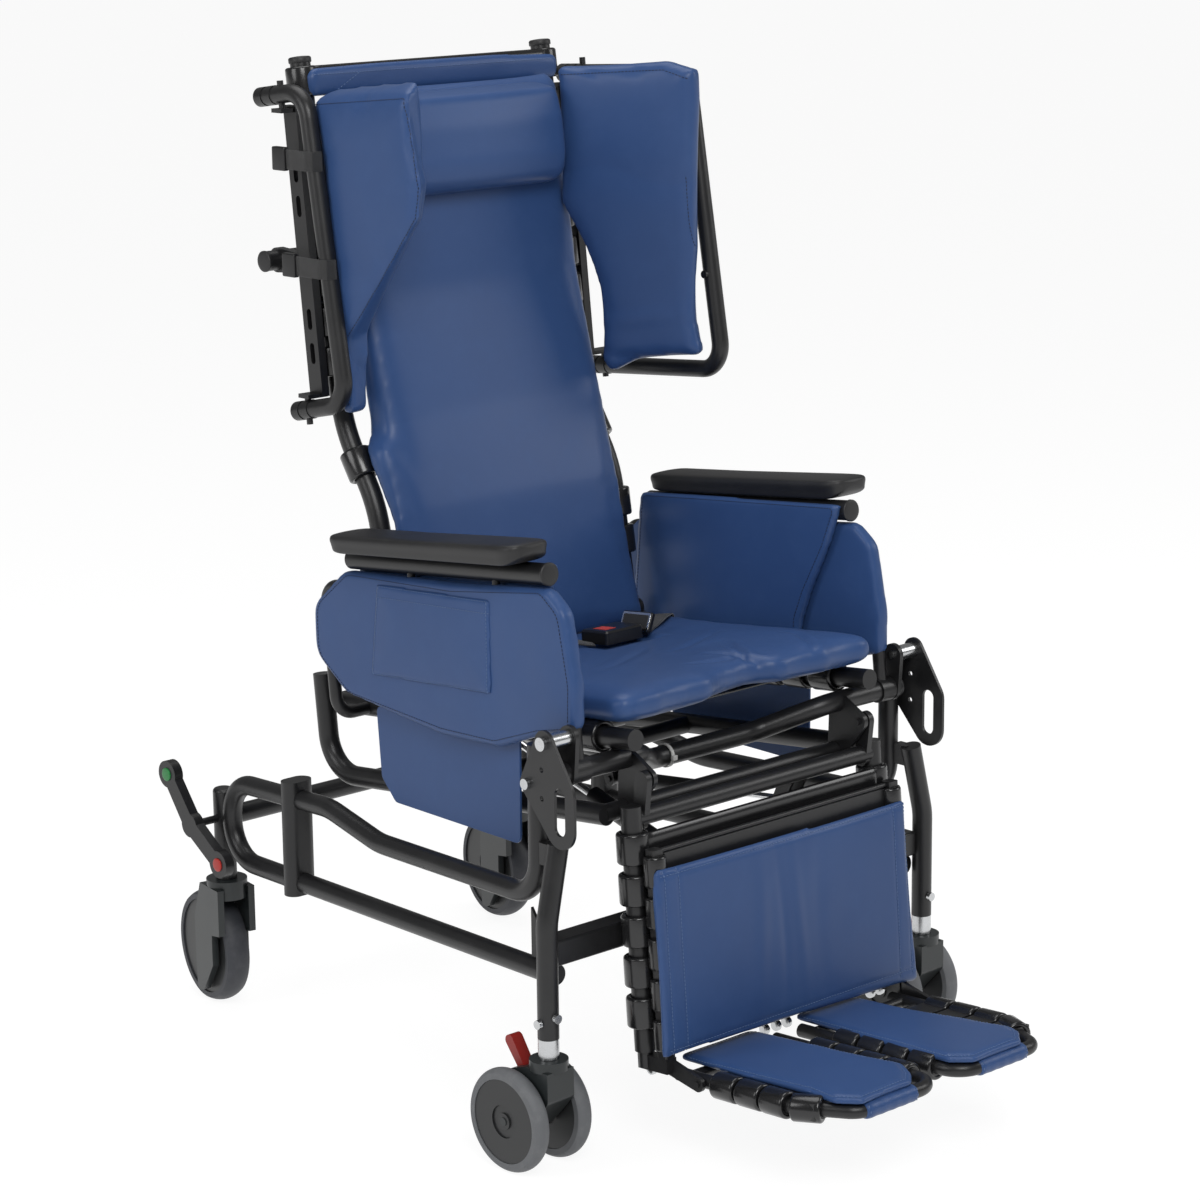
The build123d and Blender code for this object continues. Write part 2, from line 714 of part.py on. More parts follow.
# arm frames: socket on the front tube, hidden loop inside the cover, two short posts and the arm tube
arm_socket = 30.0
arm_loop = 16.0
arm_loop_spread = 256.0
arm_loop_rise = 148.0
arm_loop_rear = 452.0
arm_post = 10.0
arm_post_fore = 128.5
arm_post_aft = 285.0
with BuildPart() as arms:
    for side in (-1, 1):
        spread = side * arm_loop_spread
        rod(seat_at(side * 246, seat_cross_fore, seat_cross_rise),
            seat_at(side * (lug_in - 0.4), seat_cross_fore, seat_cross_rise), arm_socket)
        bar([
            seat_at(spread, seat_cross_fore, seat_cross_rise + 4),
            seat_at(spread, seat_cross_fore, arm_loop_rise),
            seat_at(spread, arm_loop_rear, arm_loop_rise),
            seat_at(spread, arm_loop_rear, seat_rail_rise),
            seat_at(side * (seat_rail_spread + frame_tube / 2 + weld_gap), arm_loop_rear, seat_rail_rise),
        ], 24, arm_loop)
        for along in (arm_post_fore, arm_post_aft):
            rod(seat_at(spread, along, arm_loop_rise), seat_at(side * arm_spread, along, arm_rise),
                arm_post)
        rod(seat_at(side * arm_spread, arm_front, arm_rise),
            seat_at(side * arm_spread, arm_rear, arm_rise), frame_tube)
    drill(seat_at(-300, seat_cross_fore, seat_cross_rise), seat_at(300, seat_cross_fore, seat_cross_rise),
          frame_tube + 2 * weld_gap)
save(arms, "arm_frames")

pad_foot = arm_rise + frame_tube / 2 + 0.3
with BuildPart() as arm_pads:
    for side in (-1, 1):
        middle = arm_pad_front + arm_pad_length / 2
        with BuildSketch(Plane(origin=seat_at(side * arm_pad_spread, middle, pad_foot),
                               x_dir=(0, cos(tilt), -sin(tilt)), z_dir=(0, sin(tilt), cos(tilt)))) as pad:
            RectangleRounded(arm_pad_length, arm_pad_width, 14)
        extrude(pad.sketch, amount=arm_pad_thick)
    fillet(arm_pads.edges().group_by(Axis((0, 0, 0), (0, sin(tilt), cos(tilt))))[-1], 8)
save(arm_pads, "arm_pads")

cover_outline = [(-7, 1), (-18, 99), (14, 150), (42, 164), (412, 168), (474, 77), (472, 34), (417, 7),
    (142, -30), (86, -7)]
flap_outline = [(118, -10), (385, 0), (387, -90), (364, -120), (134, -147)]
cover_play = 0.3
with BuildPart() as covers:
    for side in (-1, 1):
        with BuildSketch(seat_plane(side * arm_loop_spread)) as panel:
            with BuildLine():
                Polyline(*cover_outline, close=True)
            make_face()
            fillet(panel.vertices(), 9)
        extrude(panel.sketch, amount=cover_thick / 2, both=True)
    fillet(covers.faces().filter_by(Axis.X).edges(), 3)
    for side in (-1, 1):
        with BuildSketch(seat_plane(plate_from(side, arm_loop_spread - cover_thick / 2 - 2.5,
            3.5))) as flap:
            with BuildLine():
                Polyline(*flap_outline, close=True)
            make_face()
        extrude(flap.sketch, amount=3.5)
    for side in (-1, 1):
        spread = side * arm_loop_spread
        with BuildLine() as route:
            FilletPolyline(
                seat_at(spread, seat_cross_fore, seat_cross_rise + 4),
                seat_at(spread, seat_cross_fore, arm_loop_rise),
                seat_at(spread, arm_loop_rear, arm_loop_rise),
                seat_at(spread, arm_loop_rear, seat_rail_rise),
                radius=24,
            )
        start = seat_at(spread, seat_cross_fore, seat_cross_rise + 4)
        with BuildSketch(Plane(origin=start, z_dir=(0, sin(tilt), cos(tilt)))) as section:
            Circle(arm_loop / 2 + cover_play)
        sweep(section.sketch, path=route.wire(), mode=Mode.SUBTRACT)
        for along in (arm_post_fore, arm_post_aft):
            drill(seat_at(spread, along, arm_loop_rise), seat_at(side * arm_spread, along, arm_rise),
                  arm_post + 2 * cover_play)
save(covers, "side_covers")

inner_in = 229.0
inner_thick = 16.7
with BuildPart() as inner_covers:
    for side in (-1, 1):
        with BuildSketch(seat_plane(plate_from(side, inner_in, inner_thick))) as panel:
            with BuildLine():
                Polyline((36, 168), (400, 166), (420, 60), (400, 14), (110, 12), (70, 90), close=True)
            make_face()
            fillet(panel.vertices(), 9)
        extrude(panel.sketch, amount=inner_thick)
    fillet(inner_covers.faces().filter_by(Axis.X).edges(), 4)
save(inner_covers, "inner_covers")

cushion_foot = 4.2
cushion_thick = 36.0
cushion_spread = 222.0
cushion_front = -32.0
cushion_rear = 375.0
with BuildPart() as seat_cushion:
    with BuildSketch(Plane(origin=seat_at(0, 0, cushion_foot), x_dir=(1, 0, 0),
        z_dir=(0, sin(tilt), cos(tilt)))) as slab:
        with Locations((0, (cushion_front + cushion_rear) / 2)):
            RectangleRounded(2 * cushion_spread, cushion_rear - cushion_front, 28)
    extrude(slab.sketch, amount=cushion_thick)
    fillet(seat_cushion.edges().group_by(Axis((0, 0, 0), (0, sin(tilt), cos(tilt))))[-1], 15)
save(seat_cushion, "seat_cushion")

# lap belt lying on the cushion, its buckle off centre
belt_wide = 44.0
belt_level = cushion_foot + cushion_thick + 0.3
buckle_middle = (30.0, 250.0)
buckle_long = 66.0
buckle_wide = 50.0
buckle_thick = 17.0
belt_anchor = (206.0, 352.0)


def belt_plane(side):
    """The upright plane along one half of the belt, from the buckle to its anchor."""
    start = seat_at(buckle_middle[0] + side * (buckle_long / 2 + 1), buckle_middle[1], belt_level)
    finish = seat_at(side * belt_anchor[0], belt_anchor[1], belt_level)
    run = (Vector(*finish) - Vector(*start))
    return Plane(origin=start, x_dir=run, z_dir=run.cross(Vector(0, sin(tilt), cos(tilt)))), run.length


with BuildPart() as belt:
    for side in (-1, 1):
        plane, length = belt_plane(side)
        with BuildSketch(plane) as ribbon:
            with BuildLine():
                Polyline((-12, 0), (-12, 2.4), (length, 2.4), (length, 0), close=True)
            make_face()
        extrude(ribbon.sketch, amount=belt_wide / 2, both=True)
save(belt, "lap_belt")

button_long = 17.0
button_wide = 24.0
button_travel = 3.0
with BuildPart() as buckle:
    with BuildSketch(Plane(origin=seat_at(*buckle_middle, belt_level + 2.7), x_dir=(1, 0, 0),
        z_dir=(0, sin(tilt), cos(tilt)))) as body:
        RectangleRounded(buckle_long - 3, buckle_wide, 5)
    extrude(body.sketch, amount=buckle_thick)
    chamfer(buckle.edges().group_by(Axis((0, 0, 0), (0, sin(tilt), cos(tilt))))[-1], 2.5)
    with BuildSketch(Plane(origin=seat_at(buckle_middle[0] - 12, buckle_middle[1], belt_level + 7),
                           x_dir=(1, 0, 0), z_dir=(0, sin(tilt), cos(tilt)))) as well:
        Rectangle(button_long + 0.8, button_wide + 0.8)
    extrude(well.sketch, amount=buckle_thick, mode=Mode.SUBTRACT)
save(buckle, "buckle_housing")
with BuildPart() as button:
    with BuildSketch(Plane(origin=seat_at(buckle_middle[0] - 12, buckle_middle[1],
        belt_level + 7.4 + button_travel),
                           x_dir=(1, 0, 0), z_dir=(0, sin(tilt), cos(tilt)))) as key:
        Rectangle(button_long, button_wide)
    extrude(key.sketch, amount=buckle_thick - 5.4 - button_travel + 1)
save(button, "buckle_button")

# ---------------------------------------------------------------- back
back_spring_lug = (10.0, -55.0)
back_low_cross_rear = -9.0
back_low_cross_up = 70.0
back_runs = [
    (back_top_rear, back_top_up),
    (back_bend_rear, back_bend_up),
    (lumbar_rear, lumbar_up),
    (back_foot_rear, back_foot_up),
]
with BuildPart() as back_rails:
    for side in (-1, 1):
        bar([back_at(side * back_rail_spread, rear, up) for rear, up in back_runs], [160, 160], frame_tube)
        with BuildSketch(back_plane(plate_from(side, back_plate_in, back_plate_thick))) as plate:
            with BuildSketch(mode=Mode.PRIVATE) as outline:
                Circle(11)
                with Locations((back_foot_rear, back_foot_up + 2)):
                    Circle(12)
            make_hull(outline.sketch.edges())
            Circle(pivot_pin / 2 + pin_play, mode=Mode.SUBTRACT)
        extrude(plate.sketch, amount=back_plate_thick)
    rod(back_at(-back_rail_spread, back_low_cross_rear, back_low_cross_up),
        back_at(back_rail_spread, back_low_cross_rear, back_low_cross_up), slim_tube)
    ears(back_plane, recline_spring_x, (back_low_cross_rear, back_low_cross_up), 10, back_spring_lug, 9,
        spring_pin)
save(back_rails, "back_rails")


def back_rail_point(up):
    """Where the back rail's middle line lies at a height, and how it leans there."""
    for (high_rear, high_up), (low_rear, low_up) in zip(back_runs, back_runs[1:]):
        if low_up <= up:
            slope = (high_rear - low_rear) / (high_up - low_up)
            return low_rear + (up - low_up) * slope, slope


back_strap_heights = [748.0 - i * strap_pitch for i in range(8)] + [283.0, 185.0, 136.0]
with BuildPart() as back_straps:
    for up in back_strap_heights:
        rear, slope = back_rail_point(up)
        size = hypot(1, slope)
        strap(Plane(origin=back_at(0, rear, up), x_dir=(1, 0, 0), z_dir=(0, slope / size, 1 / size)),
              back_rail_spread, -web_out, strap_wide)
save(back_straps, "back_straps")

# flat slotted bars outside the straps, with the push bar behind them and the pins of the wings
back_bar_in = 217.0
back_bar_thick = 11.0
back_bar_top = (128.0, 722.0)
back_bar_foot = (91.0, 368.0)
wing_pin = 8.0
wing_pin_top = (back_bar_top[0], back_bar_top[1] + 15.0)
wing_pin_foot = (back_bar_foot[0] + 1.0, back_bar_foot[1] - 18.0)
wing_spread = {-1: 240.0, 1: 258.0}
push_rear = 163.0
push_up = 530.0
push_size = 25.0
with BuildPart() as back_bars:
    for side in (-1, 1):
        with BuildSketch(back_plane(plate_from(side, back_bar_in, back_bar_thick))) as flat:
            with BuildLine():
                Polyline((back_bar_foot[0] - 12, back_bar_foot[1]),
                    (back_bar_foot[0] + 13, back_bar_foot[1]),
                         (back_bar_top[0] + 13, back_bar_top[1]),
                             (back_bar_top[0] - 12, back_bar_top[1]), close=True)
            make_face()
            for up in (420, 462, 600, 642):
                share = (up - back_bar_foot[1]) / (back_bar_top[1] - back_bar_foot[1])
                with Locations((back_bar_foot[0] + share * (back_bar_top[0] - back_bar_foot[0]), up)):
                    SlotOverall(26, 8.5, rotation=84, mode=Mode.SUBTRACT)
        extrude(flat.sketch, amount=back_bar_thick)
        with BuildSketch(back_plane(plate_from(side, back_bar_in, back_bar_thick))) as stay:
            with BuildSketch(mode=Mode.PRIVATE) as outline:
                with Locations((110, push_up)):
                    Circle(11)
                with Locations((push_rear, push_up)):
                    Circle(push_size / 2 + 3)
            make_hull(outline.sketch.edges())
        extrude(stay.sketch, amount=back_bar_thick)
        reach = wing_spread[side] + 8
        for (rear, _), level in ((wing_pin_top, back_bar_top[1] - 5.2),
            (wing_pin_foot, back_bar_foot[1] + 1.5)):
            middle = (back_bar_in + reach) / 2
            with Locations(back_at(side * middle, rear, level)):
                Box(reach - back_bar_in, 20, 5)
        lean_back = (wing_pin_top[0] - wing_pin_foot[0]) / (wing_pin_top[1] - wing_pin_foot[1])
        spread = side * wing_spread[side]
        rod(back_at(spread, wing_pin_top[0] - 18 * lean_back, wing_pin_top[1] - 18),
            back_at(spread, wing_pin_top[0] + 16 * lean_back, wing_pin_top[1] + 16), wing_pin)
        rod(back_at(spread, wing_pin_foot[0] + 18 * lean_back, wing_pin_foot[1] + 18),
            back_at(spread, wing_pin_foot[0] - 16 * lean_back, wing_pin_foot[1] - 16), wing_pin)
        for up in (723.5 - 2 * strap_pitch, 723.5 - 5 * strap_pitch):
            rear, slope = back_rail_point(up)
            rod(back_at(side * (back_rail_spread + frame_tube / 2 + weld_gap), rear, up),
                back_at(side * (back_bar_in + 2), rear, up), 9)
    rod(back_at(-245, push_rear, push_up), back_at(245, push_rear, push_up), push_size)
save(back_bars, "back_bars")

# wings: C-shaped tubes swinging on the pins, and the pads they carry
wing_reach = {-1: 48.0, 1: 197.0}
wing_runs = {}
for side in (-1, 1):
    wing_runs[side] = [
        (wing_pin_top[0] + 39, wing_pin_top[1] - 6),
        (wing_pin_top[0] - wing_reach[side], wing_pin_top[1] + 6),
        (wing_pin_foot[0] - wing_reach[side] - 27, wing_pin_foot[1] + 18),
        (wing_pin_foot[0] + 20, wing_pin_foot[1] - 2),
    ]
collar = 24.0
wing_clips = {-1: [], 1: [(-80, 680, 229.9), (-111.5, 490, 242.9)]}
wing_pad_thick = 30.0
near_wing = [(501, 1213), (322, 1225), (305, 1072), (447, 908), (456, 823), (466, 823)]
for side, name in ((-1, "right"), (1, "left")):
    spread = side * wing_spread[side]
    with BuildPart() as wing_tube:
        bar([back_at(spread, rear, up) for rear, up in wing_runs[side]], 34, slim_tube)
        for (end, inner) in ((wing_runs[side][0], wing_runs[side][1]),
            (wing_runs[side][3], wing_runs[side][2])):
            step = Vector(0, inner[0] - end[0], inner[1] - end[1]).normalized()
            for shift in (-2, 16):
                start = Vector(*back_at(spread, *end)) + step * shift
                rod(tuple(start), tuple(start + step * 14), collar)
        for rear, up, reach in wing_clips[side]:
            rod(back_at(spread, rear, up), back_at(side * reach, rear, up), 10)
        lean_back = (wing_pin_top[0] - wing_pin_foot[0]) / (wing_pin_top[1] - wing_pin_foot[1])
        drill(back_at(spread, wing_pin_foot[0] - 60 * lean_back, wing_pin_foot[1] - 60),
              back_at(spread, wing_pin_foot[0] + 60 * lean_back,
                  wing_pin_foot[1] + 60), wing_pin + 2 * pin_play)
        drill(back_at(spread, wing_pin_top[0] - 60 * lean_back, wing_pin_top[1] - 60),
              back_at(spread, wing_pin_top[0] + 60 * lean_back,
                  wing_pin_top[1] + 60), wing_pin + 2 * pin_play)
    save(wing_tube, f"wing_tube_{name}")
with BuildPart() as wing_pad_right:
    with BuildSketch(Plane(origin=at(-228.5, 0, 0), x_dir=(0, 1, 0), z_dir=(1, 0, 0))) as flag:
        with BuildLine():
            Polyline(*near_wing, close=True)
        make_face()
        fillet(flag.vertices(), 4)
    extrude(flag.sketch, amount=wing_pad_thick)
    chamfer(wing_pad_right.faces().sort_by(Axis.X)[0].edges(), 4)
save(wing_pad_right, "wing_pad_right")

far_inner = (144.0, 476.0)
far_outer = (222.0, 296.0)
far_run = hypot(far_outer[0] - far_inner[0], far_outer[1] - far_inner[1])
far_dir = ((far_outer[0] - far_inner[0]) / far_run, (far_outer[1] - far_inner[1]) / far_run, 0)
far_wing = [(0, 1220), (far_run, 1229), (far_run, 850), (70, 820), (66, 940), (0, 1060)]
with BuildPart() as wing_pad_left:
    with BuildSketch(Plane(origin=at(*far_inner, 0), x_dir=far_dir,
        z_dir=(far_dir[1], -far_dir[0], 0))) as flag:
        with BuildLine():
            Polyline(*far_wing, close=True)
        make_face()
        fillet(flag.vertices(), 4)
    extrude(flag.sketch, amount=-24)
save(wing_pad_left, "wing_pad_left")

# back cushion, wider below the wings, and the head pillow in front of it
cushion_edge = 192.0
cushion_low_edge = 213.0
cushion_step_up = 795.0
back_face = [(543, 1216), (508, 1216), (474, 963), (434, 818), (394, 705), (358, 545), (386, 545),
    (409, 690), (476, 797)]
with BuildPart() as back_cushion:
    with BuildSketch(side_plane(0)) as section:
        with BuildLine():
            Polyline(*back_face, close=True)
        make_face()
        fillet(section.vertices(), 9)
    extrude(section.sketch, amount=cushion_low_edge, both=True)
    for side in (-1, 1):
        middle = (cushion_edge + cushion_low_edge + 4) / 2
        with Locations(at(side * middle, 450, cushion_step_up + 250)):
            Box(cushion_low_edge + 4 - cushion_edge, 400, 500, mode=Mode.SUBTRACT)
save(back_cushion, "back_cushion")

with BuildPart() as pillow:
    with BuildSketch(side_plane(-140)) as section:
        with BuildLine():
            Polyline((506, 1208), (458, 1203), (444, 1080), (488, 1074), close=True)
        make_face()
        fillet(section.vertices(), 16)
    extrude(section.sketch, amount=276)
save(pillow, "head_pillow")

# ---------------------------------------------------------------- legrest
hanger_in = 184.0
hanger_thick = 8.0
leg_bore_top = 205.0
slide_rod = 18.0
slide_rod_top = 235.0
leg_cross_down = 44.0
leg_cross_back = 8.0
leg_lug = (79.0, 29.0)
leg_strap_heights = [78.0, 127.0, 176.0, 225.0, 274.0]
with BuildPart() as leg_frame:
    for side in (-1, 1):
        spread = side * leg_rail_spread
        rod(leg_at(spread, leg_rail_top, leg_rail_back), leg_at(spread, leg_rail_foot, leg_rail_back),
            frame_tube)
        with BuildSketch(leg_plane(plate_from(side, hanger_in, hanger_thick))) as hanger:
            with BuildSketch(mode=Mode.PRIVATE) as outline:
                Circle(11)
                with Locations((50, leg_rail_back)):
                    Circle(9)
            make_hull(outline.sketch.edges())
        extrude(hanger.sketch, amount=hanger_thick)
        rod(leg_at(side * (drop_in - 4), 0, 0), leg_at(side * (hanger_in + 2), 0, 0), knee_pin)
    rod(leg_at(-leg_rail_spread, leg_cross_down, leg_cross_back),
        leg_at(leg_rail_spread, leg_cross_down, leg_cross_back),
        slim_tube)
    ears(leg_plane, leg_spring_x, (leg_cross_down, leg_cross_back), 10, leg_lug, 9, spring_pin)
    for side in (-1, 1):
        spread = side * leg_rail_spread
        drill(leg_at(spread, leg_bore_top, leg_rail_back), leg_at(spread, leg_rail_foot + 2, leg_rail_back),
              slide_rod + 2 * pin_play)
save(leg_frame, "leg_frame")

with BuildPart() as leg_straps:
    for down in leg_strap_heights:
        strap(Plane(origin=leg_at(0, down, leg_rail_back), x_dir=(-1, 0, 0),
            z_dir=(0, -sin(lean), -cos(lean))),
              leg_rail_spread, -web_out, strap_wide)
save(leg_straps, "leg_straps")

# foot carriage: rods in the leg tubes, flat rails in front of them and the foot brackets
slide_rail = 16.0
bracket_in = 193.8
bracket_thick = 5.0
foot_hinge_fore = 48.0
foot_rise = -11.5
carriage_strap_heights = [102.0, 151.0, 200.0, 249.0, 298.0]
with BuildPart() as carriage:
    for side in (-1, 1):
        rod(leg_at(side * leg_rail_spread, slide_rod_top, leg_rail_back),
            leg_at(side * leg_rail_spread, ankle_down + 4, leg_rail_back), slide_rod)
        with BuildSketch(Plane(origin=leg_at(side * slide_rail_spread, slide_rail_top, slide_rail_fore),
                               x_dir=(1, 0, 0), z_dir=(0, -sin(lean), -cos(lean)))) as rail:
            RectangleRounded(slide_rail, slide_rail, 3)
        extrude(rail.sketch, amount=ankle_down + 4 - slide_rail_top)
        with BuildSketch(leg_plane(plate_from(side, slide_rail_spread - slide_rail / 2,
            slide_rail))) as shoe:
            with BuildLine():
                Polyline((leg_rail_foot + 4, leg_rail_back + 9), (leg_rail_foot + 4, slide_rail_fore - 8),
                         (ankle_down + 6, slide_rail_fore - 8), (ankle_down + 6, leg_rail_back + 9),
                             close=True)
            make_face()
        extrude(shoe.sketch, amount=slide_rail)
        hinge = Vector(*foot_at(side * bracket_in, foot_hinge_fore, foot_rise))
        with BuildSketch(side_plane(plate_from(side, bracket_in, bracket_thick))) as bracket:
            with BuildSketch(mode=Mode.PRIVATE) as outline:
                with Locations((hinge.Y - front_y, hinge.Z)):
                    Circle(9)
                with Locations((ankle[1] - front_y + 4, ankle[2] + 2)):
                    Circle(10)
            make_hull(outline.sketch.edges())
        extrude(bracket.sketch, amount=bracket_thick)
    rod(foot_at(-bracket_in - bracket_thick - 2, foot_hinge_fore, foot_rise),
        foot_at(bracket_in + bracket_thick + 2, foot_hinge_fore, foot_rise), knee_pin)
    rod(leg_at(-slide_rail_spread, slide_rail_top + 4, slide_rail_fore),
        leg_at(slide_rail_spread, slide_rail_top + 4, slide_rail_fore), 6)
    for down in carriage_strap_heights:
        with BuildSketch(Plane(origin=leg_at(0, down, slide_rail_fore), x_dir=(1, 0, 0),
                               z_dir=(0, -sin(lean), -cos(lean)))) as wrap:
            Rectangle(2 * slide_rail_spread + slide_rail + 4, 3)
            with Locations((slide_rail_spread, 0), (-slide_rail_spread, 0)):
                RectangleRounded(slide_rail + 4, slide_rail + 4, 4)
        extrude(wrap.sketch, amount=strap_wide / 2, both=True)
save(carriage, "foot_carriage")

calf_face = slide_rail_fore - slide_rail / 2 - 2.4
calf_thick = 9.0
with BuildPart() as calf_pad:
    with BuildSketch(Plane(origin=leg_at(0, 0, calf_face), x_dir=(1, 0, 0),
                           z_dir=(0, -cos(lean), sin(lean)))) as slab:
        with Locations((0, -206)):
            RectangleRounded(432, 220, 16)
    extrude(slab.sketch, amount=calf_thick)
    chamfer(calf_pad.faces().sort_by(Axis.Y)[0].edges(), 3)
save(calf_pad, "calf_pad")

# footplates: bent tube frames wound with vinyl, and the pads on them
foot_bend = 30.0
foot_toe_outer = 150.0
foot_straight = 190.0
foot_strap_wide = 36.0
foot_strap_fores = [84.0, 124.0, 164.0, 204.0]
foot_pad_foot = -1.3
foot_pad_thick = 9.0
for side, name in ((-1, "right"), (1, "left")):
    with BuildPart() as foot_frame:
        bar([
            foot_at(side * foot_outer, 2, foot_rise),
            foot_at(side * foot_outer, foot_straight, foot_rise),
            foot_at(side * foot_toe_outer, foot_length, foot_rise),
            foot_at(side * foot_inner, foot_length, foot_rise),
            foot_at(side * foot_inner, 2, foot_rise),
        ], [40, 24, foot_bend], foot_tube)
        rod(foot_at(side * foot_inner, 22, foot_rise), foot_at(side * foot_outer, 22, foot_rise),
            foot_tube - 3)
        for fore in foot_strap_fores:
            narrow = max(0,
                fore - foot_straight) * (foot_outer - foot_toe_outer) / (foot_length - foot_straight)
            outer = foot_outer + foot_tube / 2 + 0.6 - narrow
            inner = foot_inner - foot_tube / 2 - 0.6
            with BuildSketch(foot_plane(foot_rise)) as wrap:
                with Locations((side * (outer + inner) / 2, -fore)):
                    Rectangle(outer - inner, foot_strap_wide)
            extrude(wrap.sketch, amount=foot_tube / 2 + 1.4, both=True)
        drill(foot_at(side * (foot_outer + 20), foot_hinge_fore, foot_rise),
              foot_at(side * (foot_inner - 20), foot_hinge_fore, foot_rise), knee_pin + 2 * pin_play)
    save(foot_frame, f"foot_frame_{name}")
    with BuildPart() as foot_pad:
        with BuildSketch(foot_plane(foot_pad_foot)) as sole:
            with BuildLine():
                Polyline((side * 15, -24), (side * 160, -24), (side * 160, -196), (side * 146, -264),
                         (side * 15, -264), close=True)
            make_face()
            fillet(sole.vertices(), 12)
        extrude(sole.sketch, amount=foot_pad_thick)
    save(foot_pad, f"foot_pad_{name}")

# ---------------------------------------------------------------- gas springs
eye_wide = 16.0
eye_round = 16.0


def spring_points(start, finish):
    run = Vector(*finish) - Vector(*start)
    return Vector(*start), run.normalized(), run.length


def cylinder(name, start, finish, size, rod_size, body_end):
    """The pressure tube: an eye on its fixed pin and a bored body."""
    origin, step, _ = spring_points(start, finish)
    side_step = Vector(eye_wide / 2, 0, 0)
    with BuildPart() as tube:
        rod(tuple(origin), tuple(origin + step * 16), 13)
        rod(tuple(origin + step * 13), tuple(origin + step * body_end), size)
        rod(tuple(origin - side_step), tuple(origin + side_step), eye_round)
        drill(tuple(origin - side_step * 1.5), tuple(origin + side_step * 1.5), spring_pin + 2 * pin_play)
        drill(tuple(origin + step * 22), tuple(origin + step * (body_end + 1)), rod_size + 2 * pin_play)
    save(tube, name)


def piston_rod(name, start, finish, rod_size, inner_end):
    """The rod, with the eye that lies between the ears."""
    origin, step, length = spring_points(start, finish)
    end = origin + step * length
    side_step = Vector(eye_wide / 2, 0, 0)
    with BuildPart() as plunger:
        rod(tuple(origin + step * inner_end), tuple(end), rod_size)
        rod(tuple(end - side_step), tuple(end + side_step), eye_round)
        drill(tuple(end - side_step * 1.5), tuple(end + side_step * 1.5), spring_pin + 2 * pin_play)
    save(plunger, name)


tilt_start = at(0, tilt_clevis_rear, tilt_clevis_up)
tilt_end = seat_at(0, *tilt_eye)
cylinder("tilt_spring_cylinder", tilt_start, tilt_end, 24, 10, 230)
piston_rod("tilt_spring_rod", tilt_start, tilt_end, 10, 130)

leg_start = seat_at(leg_spring_x, *leg_eye)
leg_end = leg_at(leg_spring_x, *leg_lug)
cylinder("leg_spring_cylinder", leg_start, leg_end, 20, 8, 190)
piston_rod("leg_spring_rod", leg_start, leg_end, 8, 40)

recline_start = seat_at(recline_spring_x, *recline_eye)
recline_end = back_at(recline_spring_x, *back_spring_lug)
cylinder("recline_spring_cylinder", recline_start, recline_end, 20, 8, 220)
piston_rod("recline_spring_rod", recline_start, recline_end, 8, 90)
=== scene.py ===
import json
import math
import bmesh
import bpy
from mathutils import Matrix, Vector, kdtree, noise
from mathutils.bvhtree import BVHTree


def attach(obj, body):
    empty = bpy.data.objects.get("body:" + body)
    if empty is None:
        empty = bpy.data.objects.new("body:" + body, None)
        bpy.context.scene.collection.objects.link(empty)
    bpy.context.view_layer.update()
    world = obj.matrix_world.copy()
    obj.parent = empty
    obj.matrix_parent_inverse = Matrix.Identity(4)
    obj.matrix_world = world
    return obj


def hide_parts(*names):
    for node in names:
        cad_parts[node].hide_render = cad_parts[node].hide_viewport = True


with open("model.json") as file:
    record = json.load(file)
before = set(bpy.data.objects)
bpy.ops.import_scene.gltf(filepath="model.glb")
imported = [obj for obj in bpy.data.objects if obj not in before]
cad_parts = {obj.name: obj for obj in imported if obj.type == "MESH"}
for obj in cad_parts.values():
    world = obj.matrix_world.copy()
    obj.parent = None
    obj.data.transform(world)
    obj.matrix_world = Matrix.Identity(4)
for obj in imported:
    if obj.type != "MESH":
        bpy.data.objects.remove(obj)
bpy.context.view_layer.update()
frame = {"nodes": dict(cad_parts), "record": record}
nodes = frame["nodes"]
scene = bpy.context.scene
print("chair frame loaded:", len(nodes), "nodes")

# the chair's own frames, in metres and degrees, as the solids use them
chair = {
    "frontY": -0.244698,
    "pivot": (0.009, 0.512),
    "seatTilt": 5.9,
    "footSlope": 3.4,
    "legLean": 4.3,
    "knee": (-0.0254, -0.065),
    "backPivot": (0.418, 0.004),
    "ankle": (0.338, -0.024),
}
tilt = math.radians(chair["seatTilt"])
lean = math.radians(chair["legLean"])
footTilt = math.radians(chair["footSlope"])


def floorAt(x, rear, up):
    return Vector((x, chair["frontY"] + rear, up))


def seatAt(x, along, rise):
    rear = chair["pivot"][0] + along * math.cos(tilt) + rise * math.sin(tilt)
    return floorAt(x, rear, chair["pivot"][1] - along * math.sin(tilt) + rise * math.cos(tilt))


def legAt(x, down, back):
    knee = seatAt(0, *chair["knee"])
    return Vector((x, knee.y - down * math.sin(lean) + back * math.cos(lean),
                   knee.z - down * math.cos(lean) - back * math.sin(lean)))


def backAt(x, rear, up):
    pivot = seatAt(0, *chair["backPivot"])
    return Vector((x, pivot.y + rear, pivot.z + up))


def footAt(x, fore, rise):
    ankle = legAt(0, *chair["ankle"])
    return Vector((x, ankle.y - fore * math.cos(footTilt) + rise * math.sin(footTilt),
                   ankle.z + fore * math.sin(footTilt) + rise * math.cos(footTilt)))


def placeBy(spot):
    # a matrix from the pad's own u, v, w to the chair
    start = spot(0, 0, 0)
    sides = [spot(1, 0, 0) - start, spot(0, 1, 0) - start, spot(0, 0, 1) - start]
    place = Matrix([[sides[c][r] for c in range(3)] + [start[r]] for r in range(3)] + [[0, 0, 0, 1]])
    return place


